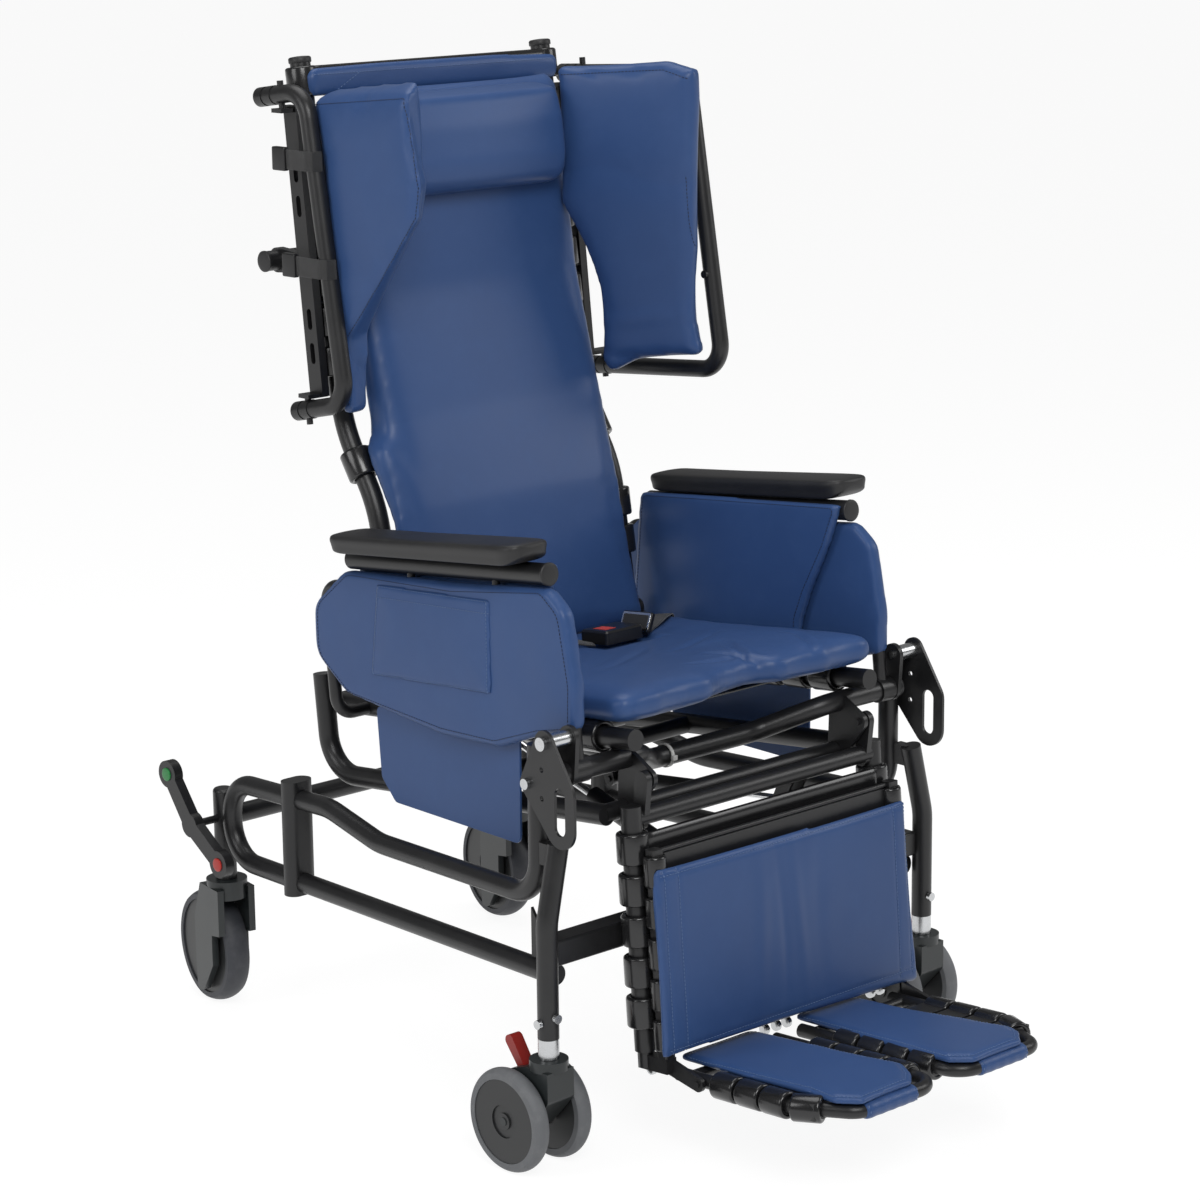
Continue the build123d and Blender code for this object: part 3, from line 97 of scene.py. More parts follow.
seatSide = placeBy(lambda u, v, w: seatAt(w, u, v))
seatTop = placeBy(lambda u, v, w: seatAt(u, v, w))
legFront = placeBy(lambda u, v, w: legAt(u, -v, -w))
footTop = placeBy(lambda u, v, w: footAt(u, v, w))
floorSide = placeBy(lambda u, v, w: floorAt(w, u, v))


# ---- shader groups
def newGroup(name, inputs, outputs):
    group = bpy.data.node_groups.new(name, "ShaderNodeTree")
    for label, kind, value in inputs:
        socket = group.interface.new_socket(label, in_out="INPUT", socket_type=kind)
        socket.default_value = value
    for label, kind in outputs:
        group.interface.new_socket(label, in_out="OUTPUT", socket_type=kind)
    return group, group.nodes.new("NodeGroupInput"), group.nodes.new("NodeGroupOutput")


def maths(tree, operation, first, second):
    # a maths node between two sockets or numbers, as its result socket
    node = tree.nodes.new("ShaderNodeMath")
    node.operation = operation
    for place, source in enumerate((first, second)):
        if isinstance(source, float):
            node.inputs[place].default_value = source
        else:
            tree.links.new(source, node.inputs[place])
    return node.outputs[0]


def buildGrainGroup():
    # pebbled vinyl or moulded grain: a height and a matching shade
    group, start, end = newGroup("finishGrain", [("Scale", "NodeSocketFloat", 900.0),
                                                 ("Softness", "NodeSocketFloat", 0.5),
                                                 ("Broad Scale", "NodeSocketFloat", 7.0)],
                                 [("Height", "NodeSocketFloat"), ("Shade", "NodeSocketFloat")])
    make, link = group.nodes.new, group.links.new
    coords = make("ShaderNodeTexCoord")
    cells = make("ShaderNodeTexVoronoi")
    cells.feature = "SMOOTH_F1"
    fine = make("ShaderNodeTexNoise")
    fine.inputs["Detail"].default_value = 3.0
    broad = make("ShaderNodeTexNoise")
    broad.inputs["Detail"].default_value = 2.0
    for node in (cells, fine, broad):
        link(coords.outputs["Object"], node.inputs["Vector"])
    link(start.outputs["Scale"], cells.inputs["Scale"])
    link(start.outputs["Scale"], fine.inputs["Scale"])
    link(start.outputs["Broad Scale"], broad.inputs["Scale"])
    blend = make("ShaderNodeMix")
    link(start.outputs["Softness"], blend.inputs["Factor"])
    link(cells.outputs["Distance"], blend.inputs["A"])
    link(fine.outputs["Fac"], blend.inputs["B"])
    link(blend.outputs["Result"], end.inputs["Height"])
    link(broad.outputs["Fac"], end.inputs["Shade"])
    return group


def buildWeaveGroup():
    # webbing: ribs across the band, from the piece's own UV map
    group, start, end = newGroup("webbingWeave", [("Ribs", "NodeSocketFloat", 60.0),
                                                  ("Warps", "NodeSocketFloat", 18.0)], [("Height", "NodeSocketFloat")])
    make, link = group.nodes.new, group.links.new
    uv = make("ShaderNodeUVMap")
    uv.uv_map = "UVMap"
    split = make("ShaderNodeSeparateXYZ")
    link(uv.outputs["UV"], split.inputs["Vector"])
    heights = []
    for label, count in (("X", "Ribs"), ("Y", "Warps")):
        wave = make("ShaderNodeMath")
        wave.operation = "SINE"
        link(maths(group, "MULTIPLY", split.outputs[label], start.outputs[count]), wave.inputs[0])
        heights.append(wave.outputs[0])
    link(maths(group, "MULTIPLY", *heights), end.inputs["Height"])
    return group


def buildWearGroup():
    # rubbed and dusty patches: a mask that stays low over most of the surface
    group, start, end = newGroup("rubbedPatches", [("Scale", "NodeSocketFloat", 30.0),
                                                   ("Amount", "NodeSocketFloat", 0.3)], [("Mask", "NodeSocketFloat")])
    make, link = group.nodes.new, group.links.new
    coords = make("ShaderNodeTexCoord")
    patches = make("ShaderNodeTexNoise")
    patches.inputs["Detail"].default_value = 5.0
    patches.inputs["Roughness"].default_value = 0.65
    link(coords.outputs["Object"], patches.inputs["Vector"])
    link(start.outputs["Scale"], patches.inputs["Scale"])
    spread = make("ShaderNodeMapRange")
    spread.inputs["From Min"].default_value = 0.48
    spread.inputs["From Max"].default_value = 0.75
    link(patches.outputs["Fac"], spread.inputs["Value"])
    link(maths(group, "MULTIPLY", spread.outputs["Result"], start.outputs["Amount"]), end.inputs["Mask"])
    return group


grainGroup = buildGrainGroup()
weaveGroup = buildWeaveGroup()
wearGroup = buildWearGroup()


def makeFinish(name, spec):
    finish = bpy.data.materials.new(name)
    finish.use_nodes = True
    make, link = finish.node_tree.nodes.new, finish.node_tree.links.new
    surface = finish.node_tree.nodes["Principled BSDF"]
    surface.inputs["Metallic"].default_value = spec.get("metallic", 0.0)
    surface.inputs["Specular IOR Level"].default_value = spec.get("specular", 0.5)
    surface.inputs["Coat Weight"].default_value = spec.get("coat", 0.0)
    surface.inputs["Coat Roughness"].default_value = spec.get("coatRough", 0.2)
    surface.inputs["Sheen Weight"].default_value = spec.get("sheen", 0.0)
    surface.inputs["Sheen Roughness"].default_value = 0.5
    grain = make("ShaderNodeGroup")
    grain.node_tree = grainGroup
    grain.inputs["Scale"].default_value = spec["grain"]
    grain.inputs["Softness"].default_value = spec.get("softness", 0.5)
    grain.inputs["Broad Scale"].default_value = spec.get("broad", 7.0)
    wear = make("ShaderNodeGroup")
    wear.node_tree = wearGroup
    wear.inputs["Scale"].default_value = spec.get("wearScale", 30.0)
    wear.inputs["Amount"].default_value = spec.get("wear", 0.2)
    shade = make("ShaderNodeMix")
    shade.data_type = "RGBA"
    link(grain.outputs["Shade"], shade.inputs["Factor"])
    shade.inputs["A"].default_value = (*spec["dark"], 1)
    shade.inputs["B"].default_value = (*spec["light"], 1)
    rubbed = make("ShaderNodeMix")
    rubbed.data_type = "RGBA"
    link(wear.outputs["Mask"], rubbed.inputs["Factor"])
    link(shade.outputs["Result"], rubbed.inputs["A"])
    rubbed.inputs["B"].default_value = (*spec.get("rubbed", spec["light"]), 1)
    link(rubbed.outputs["Result"], surface.inputs["Base Color"])
    rough = make("ShaderNodeMapRange")
    rough.inputs["To Min"].default_value = spec["rough"] - 0.04
    rough.inputs["To Max"].default_value = spec["rough"] + 0.09
    link(wear.outputs["Mask"], rough.inputs["Value"])
    link(rough.outputs["Result"], surface.inputs["Roughness"])
    bump = make("ShaderNodeBump")
    bump.inputs["Strength"].default_value = spec.get("bump", 0.3)
    bump.inputs["Distance"].default_value = spec.get("depth", 0.0002)
    if spec.get("weave"):
        weave = make("ShaderNodeGroup")
        weave.node_tree = weaveGroup
        weave.inputs["Ribs"].default_value = spec["weave"][0]
        weave.inputs["Warps"].default_value = spec["weave"][1]
        link(weave.outputs["Height"], bump.inputs["Height"])
    else:
        link(grain.outputs["Height"], bump.inputs["Height"])
    link(bump.outputs["Normal"], surface.inputs["Normal"])
    return finish


finishes = {
    "powder_black": {"dark": (0.008, 0.008, 0.009), "light": (0.016, 0.016, 0.017), "rubbed": (0.03, 0.03, 0.031),
        "rough": 0.4, "grain": 1300, "bump": 0.35, "depth": 0.00025, "wear": 0.25},
    "vinyl_blue": {"dark": (0.028, 0.07, 0.2), "light": (0.039, 0.09, 0.242), "rubbed": (0.048, 0.103, 0.26),
        "rough": 0.42, "grain": 1150, "bump": 0.3, "depth": 0.00025, "wear": 0.3, "broad": 5.0, "specular": 0.34,
        "sheen": 0.02},
    "strap_black": {"dark": (0.008, 0.008, 0.009), "light": (0.014, 0.014, 0.015), "rubbed": (0.02, 0.02, 0.02),
        "rough": 0.27, "grain": 420, "bump": 0.15, "depth": 0.0003, "coat": 0.25, "coatRough": 0.18},
    "pad_black": {"dark": (0.012, 0.012, 0.013), "light": (0.02, 0.02, 0.021), "rubbed": (0.03, 0.03, 0.03),
        "rough": 0.52, "grain": 1600, "bump": 0.25, "depth": 0.0002, "wear": 0.35},
    "webbing_black": {"dark": (0.009, 0.009, 0.01), "light": (0.016, 0.016, 0.017), "rough": 0.66, "grain": 900,
        "bump": 0.6, "depth": 0.0006, "sheen": 0.2, "weave": (700, 60)},
    "buckle_black": {"dark": (0.008, 0.008, 0.009), "light": (0.013, 0.013, 0.014), "rough": 0.33, "grain": 1500,
        "bump": 0.12, "depth": 0.0001},
    "button_red": {"dark": (0.62, 0.06, 0.03), "light": (0.74, 0.085, 0.04), "rough": 0.36, "grain": 1200,
        "bump": 0.08, "depth": 0.0001},
    "tab_red": {"dark": (0.27, 0.015, 0.012), "light": (0.36, 0.025, 0.018), "rough": 0.42, "grain": 800,
        "bump": 0.15, "depth": 0.0002},
    "tyre_grey": {"dark": (0.13, 0.136, 0.145), "light": (0.165, 0.17, 0.18), "rubbed": (0.22, 0.225, 0.23),
        "rough": 0.6, "grain": 900, "bump": 0.2, "depth": 0.0002, "wear": 0.5, "wearScale": 60},
    "tyre_dark": {"dark": (0.035, 0.038, 0.046), "light": (0.052, 0.055, 0.065), "rubbed": (0.09, 0.09, 0.1),
        "rough": 0.58, "grain": 900, "bump": 0.2, "depth": 0.0002, "wear": 0.5, "wearScale": 60},
    "hub_dark": {"dark": (0.014, 0.015, 0.016), "light": (0.024, 0.025, 0.026), "rough": 0.45, "grain": 1100,
        "bump": 0.25, "depth": 0.0002},
    "fork_dark": {"dark": (0.016, 0.02, 0.021), "light": (0.025, 0.03, 0.031), "rough": 0.38, "grain": 1000,
        "bump": 0.2, "depth": 0.0002},
    "zinc": {"dark": (0.5, 0.51, 0.52), "light": (0.68, 0.69, 0.7), "rubbed": (0.4, 0.4, 0.38), "rough": 0.3,
        "metallic": 1.0, "grain": 2000, "bump": 0.12, "depth": 0.0001, "wearScale": 120},
    "rod_chrome": {"dark": (0.7, 0.71, 0.72), "light": (0.8, 0.81, 0.82), "rough": 0.14, "metallic": 1.0,
        "grain": 1500, "bump": 0.04, "depth": 0.0001},
    "thread_navy": {"dark": (0.006, 0.012, 0.04), "light": (0.012, 0.02, 0.06), "rough": 0.6, "grain": 3000,
        "bump": 0.2},
    "thread_blue": {"dark": (0.09, 0.15, 0.31), "light": (0.12, 0.2, 0.38), "rough": 0.6, "grain": 3000,
        "bump": 0.2},
    "nylon_white": {"dark": (0.6, 0.6, 0.58), "light": (0.72, 0.72, 0.7), "rough": 0.45, "grain": 700, "bump": 0.08,
        "depth": 0.0001},
    "mark_green": {"dark": (0.02, 0.2, 0.05), "light": (0.03, 0.27, 0.07), "rough": 0.4, "grain": 900, "bump": 0.1,
        "depth": 0.0001},
    "mark_red": {"dark": (0.4, 0.02, 0.015), "light": (0.5, 0.03, 0.02), "rough": 0.4, "grain": 900, "bump": 0.1,
        "depth": 0.0001},
}
materials = {name: makeFinish(name, spec) for name, spec in finishes.items()}
print("finishes made:", len(materials))

# every node kept from the solids gets its finish
recordSlots = {part["node"]: part["material_slot"] for part in frame["record"]["subparts"]}
for name, node in nodes.items():
    node.data.materials.clear()
    node.data.materials.append(materials[recordSlots[name]])


# ---- mesh helpers
def shadedSmooth(data, smooth=True):
    data.polygons.foreach_set("use_smooth", [smooth] * len(data.polygons))


def meshPiece(name, points, faces, finish, smooth=True):
    data = bpy.data.meshes.new(name)
    data.from_pydata([tuple(p) for p in points], [], faces)
    data.update()
    piece = bpy.data.objects.new(name, data)
    scene.collection.objects.link(piece)
    data.materials.append(materials[finish])
    outward(piece)
    if smooth:
        shadedSmooth(data)
    return piece


def outward(piece, merge=0.0):
    work = bmesh.new()
    work.from_mesh(piece.data)
    if merge:
        bmesh.ops.remove_doubles(work, verts=work.verts, dist=merge)
    bmesh.ops.recalc_face_normals(work, faces=work.faces)
    work.to_mesh(piece.data)
    work.free()
    piece.data.update()


def applied(piece):
    # the piece with its modifiers made real
    dg = bpy.context.evaluated_depsgraph_get()
    data = bpy.data.meshes.new_from_object(piece.evaluated_get(dg), depsgraph=dg)
    piece.modifiers.clear()
    old = piece.data
    piece.data = data
    bpy.data.meshes.remove(old)
    return piece


def evenMesh(piece, voxel):
    remesh = piece.modifiers.new("even", "REMESH")
    remesh.mode = "VOXEL"
    remesh.voxel_size = voxel
    remesh.use_smooth_shade = True
    applied(piece)


def roundedCorners(outline, radius, steps=4):
    # the outline with its corners cut to arcs, radius shortened on short sides
    points = []
    count = len(outline)
    for i in range(count):
        before, here, after = (Vector(outline[(i + k) % count][:2]) for k in (-1, 0, 1))
        size = outline[i][2] if len(outline[i]) > 2 else radius
        toBefore, toAfter = before - here, after - here
        turn = math.pi - toBefore.angle(toAfter)
        cut = min(size * math.tan(turn / 2), toBefore.length * 0.45, toAfter.length * 0.45)
        first = here + toBefore.normalized() * cut
        last = here + toAfter.normalized() * cut
        for k in range(steps + 1):
            t = k / steps
            points.append((1 - t) ** 2 * first + 2 * t * (1 - t) * here + t * t * last)
    return points


def slab(name, outline, low, high, rim, finish, voxel, upper=None):
    # a flat pad in its own u, v, w: outline drawn out, rim rounded, then one even mesh
    # upper is another outline of as many points, for the high face
    work = bmesh.new()
    bottom = [work.verts.new((p[0], p[1], low)) for p in outline]
    face = work.faces.new(bottom)
    lifted = bmesh.ops.extrude_face_region(work, geom=[face])
    top = [v for v in lifted["geom"] if isinstance(v, bmesh.types.BMVert)]
    if upper:
        for vertex in top:
            place = min(range(len(outline)), key=lambda k: (outline[k] - vertex.co.xy).length)
            vertex.co.xy = upper[place]
    bmesh.ops.translate(work, verts=top, vec=(0, 0, high - low))
    bmesh.ops.recalc_face_normals(work, faces=work.faces)
    if rim:
        edges = [e for e in work.edges if abs(e.verts[0].co.z - e.verts[1].co.z) < 1e-6]
        bmesh.ops.bevel(work, geom=edges, offset=rim, segments=4, profile=0.55, affect="EDGES", clamp_overlap=True)
    data = bpy.data.meshes.new(name)
    work.to_mesh(data)
    work.free()
    piece = bpy.data.objects.new(name, data)
    scene.collection.objects.link(piece)
    data.materials.append(materials[finish])
    if voxel:
        evenMesh(piece, voxel)
    return piece


def edgeDistance(outline, u, v):
    # distance to the outline's nearest side, how far along that side, and the way in
    best = (1e9, 0.0, Vector((0, 0)), 1.0)
    count = len(outline)
    for i in range(count):
        a, b = Vector(outline[i][:2]), Vector(outline[(i + 1) % count][:2])
        side = b - a
        share = max(0.0, min(1.0, (Vector((u, v)) - a).dot(side) / max(side.length_squared, 1e-12)))
        gap = Vector((u, v)) - (a + side * share)
        if gap.length < best[0]:
            best = (gap.length, share, gap, side.length)
    return best


def crowned(piece, outline, middle, crown, reach, drawIn=0.0, folds=0.0, seed=0.0):
    # faces swell towards the middle, sides pull in between the corners, and the skin has slight waves
    for vertex in piece.data.vertices:
        u, v, w = vertex.co
        gap, share, way, length = edgeDistance(outline, u, v)
        rise = 1 - (1 - min(gap / reach, 1.0)) ** 2
        wave = noise.noise(Vector((u * 9 + seed, v * 9, seed)))
        wave += 0.5 * noise.noise(Vector((u * 23, v * 23 + seed, seed)))
        lift = crown * rise + folds * wave * (0.35 + 0.65 * rise)
        away = abs(w - middle)
        vertex.co.z = middle + (w - middle) * (1 + lift / max(away, 0.004) * min(1.0, away / 0.004))
        if drawIn and way.length > 1e-6 and length > 0.05:
            pull = drawIn * 4 * share * (1 - share) * max(0.0, 1 - gap / 0.05)
            vertex.co.x += way.normalized().x * pull
            vertex.co.y += way.normalized().y * pull
    piece.data.update()


def puffed(piece, spec):
    # cloth under air pressure, each point held within a few millimetres of its place
    rest = [v.co.copy() for v in piece.data.vertices]
    cloth = piece.modifiers.new("cloth", "CLOTH")
    settings = cloth.settings
    settings.quality = 4
    settings.mass = 0.25
    settings.use_pressure = True
    settings.uniform_pressure_force = spec["pressure"]
    settings.effector_weights.gravity = 0
    settings.tension_stiffness = 12
    settings.compression_stiffness = 12
    settings.bending_stiffness = spec.get("bending", 0.8)
    cloth.point_cache.frame_start = 1
    cloth.point_cache.frame_end = spec.get("frames", 16)
    for step in range(1, spec.get("frames", 16) + 1):
        scene.frame_set(step)
    dg = bpy.context.evaluated_depsgraph_get()
    swollen = [v.co.copy() for v in piece.evaluated_get(dg).data.vertices]
    piece.modifiers.clear()
    for vertex, old, new in zip(piece.data.vertices, rest, swollen):
        move = new - old
        vertex.co = old + (move if move.length <= spec["cap"] else move.normalized() * spec["cap"])
    piece.data.update()
    scene.frame_set(1)
    return piece


def relaxed(piece, rounds=2, share=0.5):
    work = bmesh.new()
    work.from_mesh(piece.data)
    for _ in range(rounds):
        bmesh.ops.smooth_vert(work, verts=work.verts, factor=share, use_axis_x=True, use_axis_y=True, use_axis_z=True)
    work.to_mesh(piece.data)
    work.free()
    piece.data.update()
    return piece


def finer(piece):
    split = piece.modifiers.new("fine", "SUBSURF")
    split.levels = 1
    split.render_levels = 1
    return applied(piece)


def creased(piece, path, depth, width):
    # a sewn line pressed into the skin, along its own inward normal
    tree = kdtree.KDTree(len(path))
    for i, point in enumerate(path):
        tree.insert(point, i)
    tree.balance()
    moves = []
    for vertex in piece.data.vertices:
        _, _, gap = tree.find(vertex.co)
        moves.append(vertex.normal * (-depth * math.exp(-(gap / width) ** 2)) if gap < width * 3 else None)
    for vertex, move in zip(piece.data.vertices, moves):
        if move is not None:
            vertex.co += move
    piece.data.update()


def settle(piece, place):
    # from the pad's own u, v, w to its place on the chair
    piece.data.transform(place)
    if place.determinant() < 0:
        piece.data.flip_normals()
    shadedSmooth(piece.data)
    piece.data.update()
    return piece


def pathOver(points, pitch=0.004, closed=False):
    # evenly spaced points along straight runs
    ring = list(points) + ([points[0]] if closed else [])
    line = [Vector(ring[0])]
    for a, b in zip(ring, ring[1:]):
        a, b = Vector(a), Vector(b)
        steps = max(1, round((b - a).length / pitch))
        line += [a.lerp(b, k / steps) for k in range(1, steps + 1)]
    return line


def onSkin(piece, points, way, lift=0.0003, far=0.08):
    # the points dropped on the piece along a direction; those that miss are left out
    tree = BVHTree.FromObject(piece, bpy.context.evaluated_depsgraph_get())
    line = []
    for point in points:
        hit, normal, _, _ = tree.ray_cast(Vector(point) - Vector(way) * far, Vector(way), far * 2)
        if hit is not None:
            line.append(hit + normal * lift)
    return line


# ---- geometry node trees
def newTree(name, inputs):
    tree = bpy.data.node_groups.new(name, "GeometryNodeTree")
    tree.interface.new_socket("Geometry", in_out="INPUT", socket_type="NodeSocketGeometry")
    for label, kind, value in inputs:
        socket = tree.interface.new_socket(label, in_out="INPUT", socket_type=kind)
        if value is not None:
            socket.default_value = value
    tree.interface.new_socket("Geometry", in_out="OUTPUT", socket_type="NodeSocketGeometry")
    return tree, tree.nodes.new("NodeGroupInput"), tree.nodes.new("NodeGroupOutput")


def socketOf(tree, label):
    return next(item.identifier for item in tree.interface.items_tree if item.name == label and item.in_out == "INPUT")


def buildStitchTree():
    # thread stitches along a curve: one stretched grain at each step, laid along the curve
    tree, start, end = newTree("stitchRow", [("Pitch", "NodeSocketFloat", 0.0046),
                                             ("Thread", "NodeSocketFloat", 0.00055),
                                             ("Length", "NodeSocketFloat", 0.0036),
                                             ("Finish", "NodeSocketMaterial", None)])
    make, link = tree.nodes.new, tree.links.new
    spaced = make("GeometryNodeResampleCurve")
    spaced.mode = "LENGTH"
    link(start.outputs["Geometry"], spaced.inputs["Curve"])
    link(start.outputs["Pitch"], spaced.inputs["Length"])
    grain = make("GeometryNodeMeshUVSphere")
    grain.inputs["Segments"].default_value = 6
    grain.inputs["Rings"].default_value = 4
    grain.inputs["Radius"].default_value = 1.0
    size = make("ShaderNodeCombineXYZ")
    link(start.outputs["Thread"], size.inputs["X"])
    link(start.outputs["Thread"], size.inputs["Y"])
    link(maths(tree, "MULTIPLY", start.outputs["Length"], 0.5), size.inputs["Z"])
    tangent = make("GeometryNodeInputTangent")
    turn = make("FunctionNodeAlignRotationToVector")
    turn.axis = "Z"
    link(tangent.outputs["Tangent"], turn.inputs["Vector"])
    spread = make("GeometryNodeInstanceOnPoints")
    link(spaced.outputs["Curve"], spread.inputs["Points"])
    link(grain.outputs["Mesh"], spread.inputs["Instance"])
    link(turn.outputs["Rotation"], spread.inputs["Rotation"])
    link(size.outputs["Vector"], spread.inputs["Scale"])
    real = make("GeometryNodeRealizeInstances")
    link(spread.outputs["Instances"], real.inputs["Geometry"])
    finish = make("GeometryNodeSetMaterial")
    link(real.outputs["Geometry"], finish.inputs["Geometry"])
    link(start.outputs["Finish"], finish.inputs["Material"])
    link(finish.outputs["Geometry"], end.inputs["Geometry"])
    return tree


def buildWrapTree():
    # vinyl beads: one rounded bead on each point, turned by the point's own lean
    tree, start, end = newTree("strapBeads", [("Inner", "NodeSocketFloat", 0.0128),
                                              ("Outer", "NodeSocketFloat", 0.0195), ("Width", "NodeSocketFloat", 0.037),
                                              ("Finish", "NodeSocketMaterial", None)])
    make, link = tree.nodes.new, tree.links.new
    inner, outer = start.outputs["Inner"], start.outputs["Outer"]
    middle = maths(tree, "MULTIPLY", maths(tree, "ADD", inner, outer), 0.5)
    wall = maths(tree, "SUBTRACT", outer, inner)
    ring = make("GeometryNodeCurvePrimitiveCircle")
    ring.inputs["Resolution"].default_value = 28
    link(middle, ring.inputs["Radius"])
    section = make("GeometryNodeCurvePrimitiveQuadrilateral")
    link(wall, section.inputs["Width"])
    link(start.outputs["Width"], section.inputs["Height"])
    rounded = make("GeometryNodeFilletCurve")
    rounded.mode = "POLY"
    rounded.inputs["Count"].default_value = 4
    rounded.inputs["Radius"].default_value = 0.0033
    link(section.outputs["Curve"], rounded.inputs["Curve"])
    solid = make("GeometryNodeCurveToMesh")
    link(ring.outputs["Curve"], solid.inputs["Curve"])
    link(rounded.outputs["Curve"], solid.inputs["Profile Curve"])
    lean = make("GeometryNodeInputNamedAttribute")
    lean.data_type = "FLOAT_VECTOR"
    lean.inputs["Name"].default_value = "lean"
    turn = make("FunctionNodeEulerToRotation")
    link(lean.outputs["Attribute"], turn.inputs["Euler"])
    spread = make("GeometryNodeInstanceOnPoints")
    link(start.outputs["Geometry"], spread.inputs["Points"])
    link(solid.outputs["Mesh"], spread.inputs["Instance"])
    link(turn.outputs["Rotation"], spread.inputs["Rotation"])
    real = make("GeometryNodeRealizeInstances")
    link(spread.outputs["Instances"], real.inputs["Geometry"])
    smooth = make("GeometryNodeSetShadeSmooth")
    link(real.outputs["Geometry"], smooth.inputs["Geometry"])
    finish = make("GeometryNodeSetMaterial")
    link(smooth.outputs["Geometry"], finish.inputs["Geometry"])
    link(start.outputs["Finish"], finish.inputs["Material"])
    link(finish.outputs["Geometry"], end.inputs["Geometry"])
    return tree


stitchTree = buildStitchTree()
wrapTree = buildWrapTree()


def curvePiece(name, lines, bevel=0.0, finish="thread_navy", closed=False, smooth=False):
    data = bpy.data.curves.new(name, "CURVE")
    data.dimensions = "3D"
    data.bevel_depth = bevel
    data.bevel_resolution = 2
    for line in lines:
        if len(line) < 2:
            continue
        spline = data.splines.new("NURBS" if smooth else "POLY")
        spline.points.add(len(line) - 1)
        for point, place in zip(spline.points, line):
            point.co = (*place, 1)
        spline.use_cyclic_u = closed
        if smooth:
            spline.order_u = 3
            spline.use_endpoint_u = True
    data.materials.append(materials[finish])
    piece = bpy.data.objects.new(name, data)
    scene.collection.objects.link(piece)
    return piece


def meshFrom(piece):
    # the evaluated piece as a plain mesh object under its name
    dg = bpy.context.evaluated_depsgraph_get()
    data = bpy.data.meshes.new_from_object(piece.evaluated_get(dg), depsgraph=dg)
    name = piece.name
    old = piece.data
    bpy.data.objects.remove(piece)
    if isinstance(old, bpy.types.Curve):
        bpy.data.curves.remove(old)
    else:
        bpy.data.meshes.remove(old)
    data.name = name
    piece = bpy.data.objects.new(name, data)
    scene.collection.objects.link(piece)
    return piece


def stitched(name, lines, body, finish="thread_navy", pitch=0.0046, length=0.0037, thread=0.00055):
    row = curvePiece(name, lines)
    run = row.modifiers.new("stitches", "NODES")
    run.node_group = stitchTree
    for label, value in (("Pitch", pitch), ("Thread", thread), ("Length", length), ("Finish", materials[finish])):
        run[socketOf(stitchTree, label)] = value
    row = meshFrom(row)
    shadedSmooth(row.data)
    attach(row, body)
    return row


def ribbon(name, path, across, width, thick, finish, body, uvLength=None):
    # a flat band along a path, its width along the given directions, with a UV map for its weave
    points, faces = [], []
    count = len(path)
    ups = []
    for i, place in enumerate(path):
        step = (path[min(i + 1, count - 1)] - path[max(i - 1, 0)]).normalized()
        side = across[i] if isinstance(across, list) else across
        side = (side - step * side.dot(step)).normalized()
        up = step.cross(side)
        ups.append(up)
        for a, b in ((-1, -1), (1, -1), (1, 1), (-1, 1)):
            points.append(place + side * (a * width / 2) + up * (b * thick / 2))
    for i in range(count - 1):
        for k in range(4):
            a, b = 4 * i + k, 4 * i + (k + 1) % 4
            faces.append((a, b, b + 4, a + 4))
    faces += [(3, 2, 1, 0), tuple(4 * (count - 1) + k for k in range(4))]
    band = meshPiece(name, points, faces, finish, smooth=False)
    uv = band.data.uv_layers.new(name="UVMap")
    long = [0.0]
    for a, b in zip(path, path[1:]):
        long.append(long[-1] + (b - a).length)
    for loop in band.data.loops:
        index = loop.vertex_index
        uv.data[loop.index].uv = (long[index // 4] * 10, 1.0 if index % 4 in (1, 2) else 0.0)
    soft = band.modifiers.new("rim", "BEVEL")
    soft.width = min(thick, width) * 0.3
    soft.segments = 2
    soft.limit_method = "ANGLE"
    applied(band)
    shadedSmooth(band.data)
    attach(band, body)
    return band


def capPiece(name, spots, body, finish="pad_black", radius=0.0135, long=0.012, dome=0.35):
    # turned end caps: a collar, a shoulder and a slightly domed face
    points, faces = [], []
    turns = 28
    profile = [(0.82, -0.25), (0.82, 0.0), (1.0, 0.0), (1.03, 0.12), (1.03, 0.72), (0.97, 0.9), (0.85, 1.0),
               (0.45, 1.0 + dome * 0.2), (0.12, 1.0 + dome * 0.25)]
    for spot, way in spots:
        way = Vector(way).normalized()
        side = way.orthogonal().normalized()
        other = way.cross(side)
        base = len(points)
        for wide, far in profile:
            for k in range(turns):
                angle = 2 * math.pi * k / turns
                out = (side * math.cos(angle) + other * math.sin(angle)) * wide * radius
                points.append(Vector(spot) + out + way * far * long)
        rows = len(profile)
        for r in range(rows - 1):
            for k in range(turns):
                a, b = base + r * turns + k, base + r * turns + (k + 1) % turns
                faces.append((a, b, b + turns, a + turns))
        faces.append(tuple(base + (rows - 1) * turns + k for k in range(turns)))
        faces.append(tuple(base + k for k in reversed(range(turns))))
    cap = meshPiece(name, points, faces, finish)
    split = cap.modifiers.new("crisp", "EDGE_SPLIT")
    split.split_angle = math.radians(42)
    applied(cap)
    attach(cap, body)
    return cap


def dressed(piece, body):
    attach(piece, body)


def upholstered(piece, body, fill, *stands):
    # a padded piece in blue vinyl, and the solids that it stands for
    dressed(piece, body)
    if stands:
        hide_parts(*stands)


def smallPlate(name, box, corner, span, rim, finish, place, body):
    # a small moulded plate with rounded corners, set in its place on a body
    u0, v0, u1, v1 = box
    plate = slab(name, roundedCorners([(u0, v0), (u1, v0), (u1, v1), (u0, v1)], corner, 4), *span, rim, finish, 0)
    settle(plate, place)
    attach(plate, body)
    return plate


print("tools ready")

